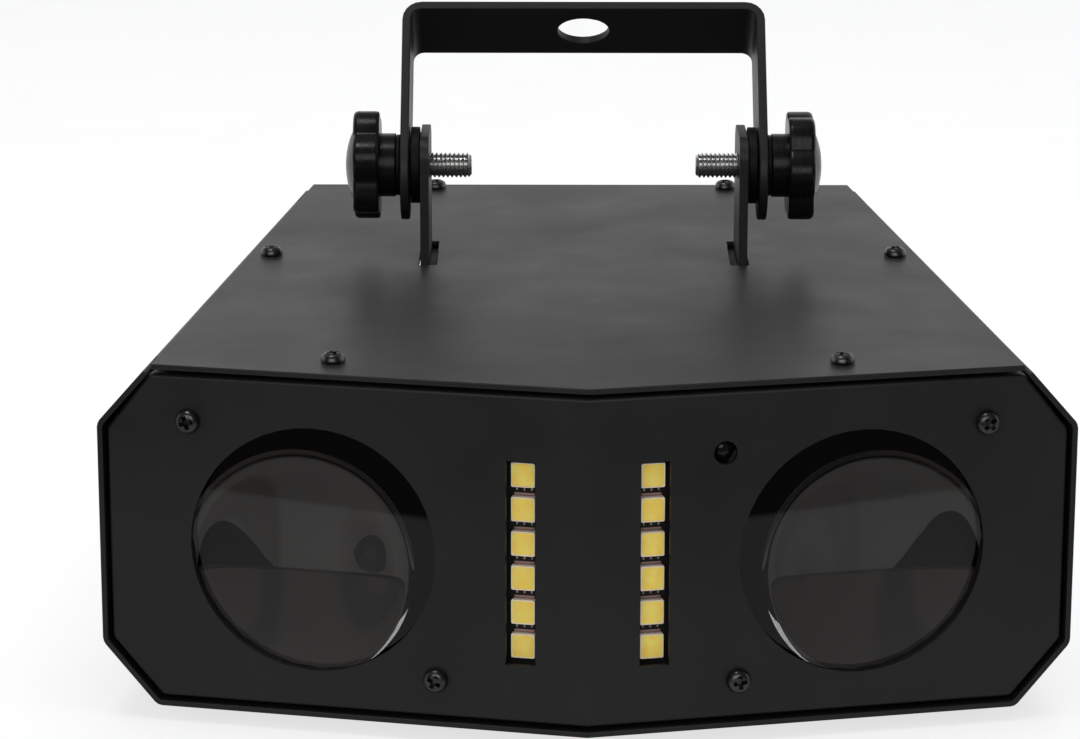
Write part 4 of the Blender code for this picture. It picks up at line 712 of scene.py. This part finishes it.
def lenses():
    """Two flat-convex lenses, flat face out."""
    edge = LENS_EDGE + lens_sag(LENS_RADIUS)
    profile = [(0.0, 0.0), (LENS_RADIUS - 0.0002, 0.0), (LENS_RADIUS, 0.0002)]
    steps = 40
    for i in range(steps + 1):
        radius = LENS_RADIUS * (1.0 - i / steps)
        profile.append((radius, edge - lens_sag(radius)))
    mesh = turned(profile, 128)
    for material in (GLASS, COATED_GLASS, GROUND_EDGE):
        mesh.materials.append(material)
    for face in mesh.polygons:
        out = math.hypot(face.center.x, face.center.y)
        if out > LENS_RADIUS * 0.996:
            face.material_index = 2
        elif face.center.z > 0.0001:
            face.material_index = 1
    for side, sign in SIDES:
        at = on_facet(sign, sign * LENS_U, LENS_Z, LENS_FRONT)
        made = moved(mesh, at)
        made.name = "lens_%s_glass" % side
        obj = bpy.data.objects.new(made.name, made)
        bpy.context.scene.collection.objects.link(obj)
        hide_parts("lens_" + side)
        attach(obj, "housing")


def lamp_parts():
    """One square lamp: its frame, the filling, a solder joint and the edge of its pads."""
    depth = BOARD_FRONT - LAMP_FRONT
    outline = soft_corners(rectangle(LAMP_WIDTH, LAMP_HEIGHT), LAMP_CORNER, 2, True)
    inside = rectangle(LAMP_WIDTH - 2.0 * LAMP_RIM, LAMP_HEIGHT - 2.0 * LAMP_RIM)
    well = soft_corners(inside, WELL_CORNER, 3, True)
    middle = Matrix.Translation((0.0, 0.0, depth / 2.0))
    frame_part = moved(plate(outline, depth, [well], 0.00008, 2), middle)
    inner = [(x * 1.03, y * 1.03) for x, y in well]
    lowered = Matrix.Translation((0.0, 0.0, depth / 2.0 + 0.00005))
    filling = moved(plate(inner, depth - 0.0002), lowered)
    drop = [(0.0, 0.00032), (0.00022, 0.00026), (0.00036, 0.00008), (0.00038, 0.0), (0.0, 0.0)]
    return frame_part, filling, turned(drop, 16), box(TRACK_SIZE, 0.00012)


def strobe_strips():
    """The lamp boards: six square lamps each, with their solder and the board's mask."""
    depth = BOARD_FRONT - LAMP_FRONT
    body, filling, joint, track = lamp_parts()
    studs = [ring_points(STUD_RADIUS, (0.0, s * STUD_RISE), 20) for s in (1.0, -1.0)]
    board = plate(rectangle(*BOARD_SIZE), BOARD_THICKNESS, studs, 0.00008)
    upside_down = Matrix.Rotation(math.pi, 4, "X")
    below = LAMP_HEIGHT / 2.0 + JOINT_BELOW
    above = -LAMP_HEIGHT / 2.0 - TRACK_ABOVE
    for side, sign in SIDES:
        at = on_facet(sign, sign * STRIP_U, LENS_Z, BOARD_FRONT + BOARD_THICKNESS / 2.0)
        parts = [(moved(board, at), LAMP_BOARD)]
        for i in range(LAMP_COUNT):
            z = LENS_Z + (i - (LAMP_COUNT - 1) / 2.0) * LAMP_PITCH
            at = on_facet(sign, sign * STRIP_U, z, LAMP_FRONT)
            parts.append((moved(body, at), LAMP_BODY))
            parts.append((moved(filling, at), PHOSPHOR))
            # Below each lamp its three joints, above it the coppery edge of its pads
            if i:
                for column in (-1.0, 0.0, 1.0):
                    spot = Matrix.Translation((column * JOINT_PITCH, below, depth)) @ upside_down
                    parts.append((moved(joint, at @ spot), SOLDER))
            if i < LAMP_COUNT - 1:
                spot = Matrix.Translation((0.0, above, depth - 0.00005))
                parts.append((moved(track, at @ spot), PAD_EDGE))
        node = "strobe_board_" + side
        piece(node + "_with_lamps", parts, "housing", (node,))


def star_radius(angle):
    """The knob's lobed outline."""
    swell = 0.5 + 0.5 * math.cos(STAR_LOBES * angle)
    return STAR_RADIUS - STAR_DEPTH * (1.0 - swell ** 0.6)


KNOB_PHASE = {"left": math.radians(-8.5), "right": math.radians(30.0)}


def star_knob(side, sign):
    """A moulded star knob with its hub and domed cap."""
    count = 144
    levels = [(0.0, 0.0006), (0.00012, 0.00025), (0.0004, 0.00005), (0.0008, 0.0)]
    top = STAR_THICKNESS
    levels += [(top - 0.0012, 0.0), (top - 0.00075, 0.00008), (top - 0.00038, 0.0003)]
    levels += [(top - 0.00014, 0.0006), (top - 0.00002, 0.00105), (top, 0.0014)]
    rings = []
    for z, inset in levels:
        ring = []
        for i in range(count):
            angle = 2.0 * math.pi * i / count
            r = star_radius(angle) - inset
            ring.append((r * math.cos(angle), r * math.sin(angle), z))
        rings.append(ring)
    star = mesh_of(loft(rings), angle=60.0)
    d, h = DOME_RADIUS, DOME_HEIGHT
    cap = [(0.0, top + h)]
    for i in range(1, 13):
        r = d * 0.94 * i / 12
        cap.append((r, top + h * (1.0 - (i / 12.0) ** 2.2 * 0.86)))
    cap += [(d * 0.975, top + h * 0.08), (d, top - 0.0001), (d, top - 0.0006), (0.0, top - 0.0006)]
    dome = turned(cap, 72)
    start = HUB_START - STAR_START - HUB_REACH
    bore = BOLT_RADIUS + 0.0003
    sleeve = [(HUB_RADIUS, 0.0003), (HUB_RADIUS, start), (bore, start), (bore, 0.0003)]
    hub = turned(sleeve, 64, 0.0003, True)
    at = on_axis(sign, STAR_START) @ Matrix.Rotation(KNOB_PHASE[side], 4, "Z")
    parts = [(moved(mesh, at), KNOB_PLASTIC) for mesh in (star, dome, hub)]
    piece("knob_%s_star" % side, parts, "star_knob_" + side, ("knob_" + side,))


def threaded_bolt(side, sign):
    """The knob's bolt with its rolled thread and chamfered end."""
    length = BOLT_END - BOLT_START
    around, per_pitch = 40, 10
    rows = int(round(length / THREAD_PITCH * per_pitch))
    rings = [[(0.0, 0.0, 0.0)]]
    for row in range(rows + 1):
        z = length * row / rows
        ring = []
        for i in range(around):
            share = i / around
            phase = (z / THREAD_PITCH - share) % 1.0
            wave = min(1.0, max(0.0, abs(phase - 0.5) * 2.4 - 0.1))
            r = BOLT_RADIUS - THREAD_DEPTH * (1.0 - wave)
            r = min(r, BOLT_RADIUS * BOLT_TIP_SHARE + z * 1.1, BOLT_RADIUS)
            turn = 2.0 * math.pi * share
            ring.append((r * math.cos(turn), r * math.sin(turn), z))
        rings.append(ring)
    rings.append([(0.0, 0.0, length)])
    mesh = moved(mesh_of(loft(rings), angle=70.0), on_axis(sign, BOLT_START))
    node = "bolt_" + side
    piece(node + "_thread", [(mesh, STEEL)], "star_knob_" + side, (node,))


def washers(side, sign):
    """The plain washer under the knob and the spacer on the lug."""
    for kind, start, outer, thick in (WASHER, SPACER):
        node = "%s_%s" % (kind, side)
        profile = [(outer, thick), (outer, 0.0), (RING_BORE, 0.0), (RING_BORE, thick)]
        mesh = moved(turned(profile, 64, 0.00018, True), on_axis(sign, start))
        parts = [(mesh, SPACER_BLACK)]
        piece(node + "_ring", parts, node_body(node), (node,))


def lug(side):
    """A lug; its foot, under the cover, takes the dark optics plastic as painted shade for the cover's
    shadow.
    """
    shell = dressed("lug_" + side, LUG_EDGE)
    shell.data.materials.append(OPTICS_BLACK)
    # Painted shade: faces below the cover's underside get the dark plastic, standing in for the cover's
    # shadow
    for face in shell.data.polygons:
        if face.center.z < COVER_UNDER:
            face.material_index = 1


def tilt_hardware():
    """Everything on the tilt axis."""
    for side, sign in SIDES:
        star_knob(side, sign)
        threaded_bolt(side, sign)
        washers(side, sign)
        lug(side)
    dressed("tilt_bracket", BRACKET_EDGE, 3)


def shells():
    """The housing's sheet metal."""
    dressed("front_panel")
    dressed("base_tray", SHEET_EDGE)
    dressed("top_cover", COVER_EDGE, 3)
    dressed("rear_panel")


def insides():
    """What lies behind the lenses and the rear openings."""
    finishes = {
        "lens_holder": OPTICS_BLACK,
        "lens_ring": OPTICS_BLACK,
        "pattern_wheel": WHEEL_PAINT,
        "optics_bracket": OPTICS_PAINT,
        "ring_board": RING_BOARD,
        "motor": None,
        "motor_shaft": POLISHED,
    }
    for side, _ in SIDES:
        for kind, finish in finishes.items():
            dressed("%s_%s" % (kind, side), material=finish)
    for node in ("supply_board", "control_board"):
        dressed(node)


def receiver():
    """The dark domed receiver on its small board."""
    dome = [(0.0, 0.0)]
    for i in range(1, 11):
        turn = math.radians(90.0) * i / 10
        dome.append((EYE_RADIUS * math.sin(turn), EYE_RADIUS * 0.6 * (1.0 - math.cos(turn))))
    dome += [(EYE_RADIUS, EYE_LENGTH), (0.0, EYE_LENGTH)]
    at = on_facet(1.0, EYE_U, EYE_Z, EYE_FRONT)
    board = node_mesh("receiver")
    work = bmesh.new()
    work.from_mesh(board)
    # The board alone: what stands in front of it is the dome
    bmesh.ops.transform(work, matrix=at.inverted(), verts=work.verts)
    front = EYE_LENGTH - 0.0002
    near = [vert for vert in work.verts if vert.co.z < front]
    bmesh.ops.delete(work, geom=near, context="VERTS")
    edges = [edge for edge in work.edges if edge.is_boundary]
    bmesh.ops.holes_fill(work, edges=edges)
    bmesh.ops.transform(work, matrix=at, verts=work.verts)
    parts = [(mesh_of(work), DARK_BOARD), (moved(turned(dome, 40), at), EYE)]
    piece("receiver_with_eye", parts, "housing", ("receiver",))


def rear_pieces():
    """Sockets, display, buttons and knob on the rear, and the feet."""
    for node in ("mains_inlet", "signal_out_socket", "signal_in_socket", "display"):
        dressed(node)
    for index in range(1, 5):
        dressed("menu_button_%d" % index, BUTTON_EDGE)
        dressed("rubber_foot_%d" % index)
    dressed("sensitivity_knob")


# ---------------------------------------------------------------- studio


def studio():
    """A plain pale floor, soft lamps and a pale surround."""
    bpy.ops.mesh.primitive_plane_add(size=40.0, location=(0.0, 0.0, 0.0))
    floor = bpy.context.object
    floor.name = "studio_floor"
    paper = Finish("studio_paper", (0.80, 0.80, 0.80), 0.9)
    path = paper.add("ShaderNodeLightPath")
    glow = paper.add("ShaderNodeEmission", Strength=1.0).outputs[0]
    share = paper.span(path.outputs["Is Camera Ray"], 0.0, FLOOR_GLOW)
    seen = paper.mixed(share, paper.shader.outputs[0], glow)
    # What glossy and clear surfaces see is a painted reflection of the floor: the table top at a level
    # that stands in for the object's shadow, dark a little beyond its front edge, lighter behind
    across = paper.add("ShaderNodeSeparateXYZ", Vector=paper.place).outputs["Y"]
    painted_table_level = paper.span(across, *PAINTED_TABLE_LEVELS, *TABLE_EDGE)
    rear = paper.span(across, 0.0, REAR_LEVEL, *TABLE_REAR)
    # Painted reflection: an emission seen only by glossy and clear rays, with painted shadow in front
    # and painted light behind
    painted_floor_reflection = paper.add("ShaderNodeEmission", Strength=paper.math("ADD", painted_table_level, rear)).outputs[0]
    mirror = paper.math("MAXIMUM", path.outputs["Is Glossy Ray"], path.outputs["Is Transmission Ray"])
    paper.finish(paper.mixed(mirror, seen, painted_floor_reflection))
    paper.material.cycles.emission_sampling = "NONE"
    grain = paper.noise(30.0, 3.0)
    paper.use(Base_Color=paper.ramp(grain, (0.3, (0.79, 0.79, 0.79)), (0.7, (0.82, 0.82, 0.82))))
    floor.data.materials.append(paper.material)

    world = bpy.data.worlds.new("studio")
    bpy.context.scene.world = world
    world.use_nodes = True
    nodes, links = world.node_tree.nodes, world.node_tree.links
    nodes.clear()

    def add(kind, **props):
        node = nodes.new(kind)
        for key, value in props.items():
            setattr(node, key, value)
        return node

    def span(value, start, end, low, high):
        node = add("ShaderNodeMapRange", interpolation_type="SMOOTHSTEP")
        links.new(value, node.inputs["Value"])
        for key, number in (("From Min", start), ("From Max", end), ("To Min", low), ("To Max", high)):
            node.inputs[key].default_value = number
        return node.outputs["Result"]

    def math_node(kind, a, b):
        node = add("ShaderNodeMath", operation=kind)
        for socket, value in zip(node.inputs, (a, b)):
            if isinstance(value, bpy.types.NodeSocket):
                links.new(value, socket)
            else:
                socket.default_value = value
        return node.outputs[0]

    way = add("ShaderNodeSeparateXYZ")
    links.new(add("ShaderNodeTexCoord").outputs["Generated"], way.inputs[0])
    behind = span(way.outputs["Y"], -0.30, 0.15, 0.0, 0.90)
    low = span(way.outputs["Z"], 0.42, 0.70, 1.0, 0.16)
    seen = math_node("ADD", math_node("MULTIPLY", behind, low), 0.05)
    path = add("ShaderNodeLightPath")
    mirror = math_node("MAXIMUM", path.outputs["Is Glossy Ray"], path.outputs["Is Transmission Ray"])
    soft = add("ShaderNodeBackground")
    soft.inputs["Color"].default_value = (0.93, 0.96, 1.0, 1.0)
    soft.inputs["Strength"].default_value = 0.62
    pale = add("ShaderNodeBackground")
    links.new(seen, pale.inputs["Strength"])
    white = add("ShaderNodeBackground")
    white.inputs["Strength"].default_value = 1.0
    first = add("ShaderNodeMixShader")
    links.new(mirror, first.inputs[0])
    links.new(soft.outputs[0], first.inputs[1])
    links.new(pale.outputs[0], first.inputs[2])
    last = add("ShaderNodeMixShader")
    links.new(path.outputs["Is Camera Ray"], last.inputs[0])
    links.new(first.outputs[0], last.inputs[1])
    links.new(white.outputs[0], last.inputs[2])
    links.new(last.outputs[0], add("ShaderNodeOutputWorld").inputs["Surface"])

    def lamp(name, place, aim, size, power, mirrored=True):
        data = bpy.data.lights.new(name, "AREA")
        data.shape = "RECTANGLE"
        data.size, data.size_y = size
        data.energy = power
        obj = bpy.data.objects.new(name, data)
        obj.location = place
        obj.rotation_euler = (Vector(aim) - Vector(place)).to_track_quat("-Z", "Y").to_euler()
        obj.visible_glossy = mirrored
        obj.visible_transmission = False
        bpy.context.scene.collection.objects.link(obj)

    lamp("overhead", (0.10, 0.05, 1.30), (0.0, 0.0, 0.05), (1.3, 1.0), 14.0, False)
    lamp("top_glint", (-0.25, -0.10, 1.30), (0.0, 0.0, 0.05), (0.30, 0.30), 2.0)
    lamp("front_fill", (-0.25, -1.6, 0.75), (0.0, 0.0, 0.04), (1.6, 0.8), 6.0)


def camera():
    """The photograph's viewpoint."""
    data = bpy.data.cameras.new("camera")
    data.lens = 126.667
    data.sensor_width = 36.0
    data.sensor_fit = "HORIZONTAL"
    data.clip_start = 0.01
    data.clip_end = 100.0
    obj = bpy.data.objects.new("camera", data)
    obj.location = (-0.00866, -0.84080, 0.27552)
    obj.rotation_euler = (math.radians(75.282), math.radians(-0.061), math.radians(0.106))
    bpy.context.scene.collection.objects.link(obj)
    bpy.context.scene.camera = obj


bpy.context.scene.view_settings.view_transform = "Standard"

camera()
studio()
shells()
screws()
lenses()
strobe_strips()
tilt_hardware()
insides()
receiver()
rear_pieces()
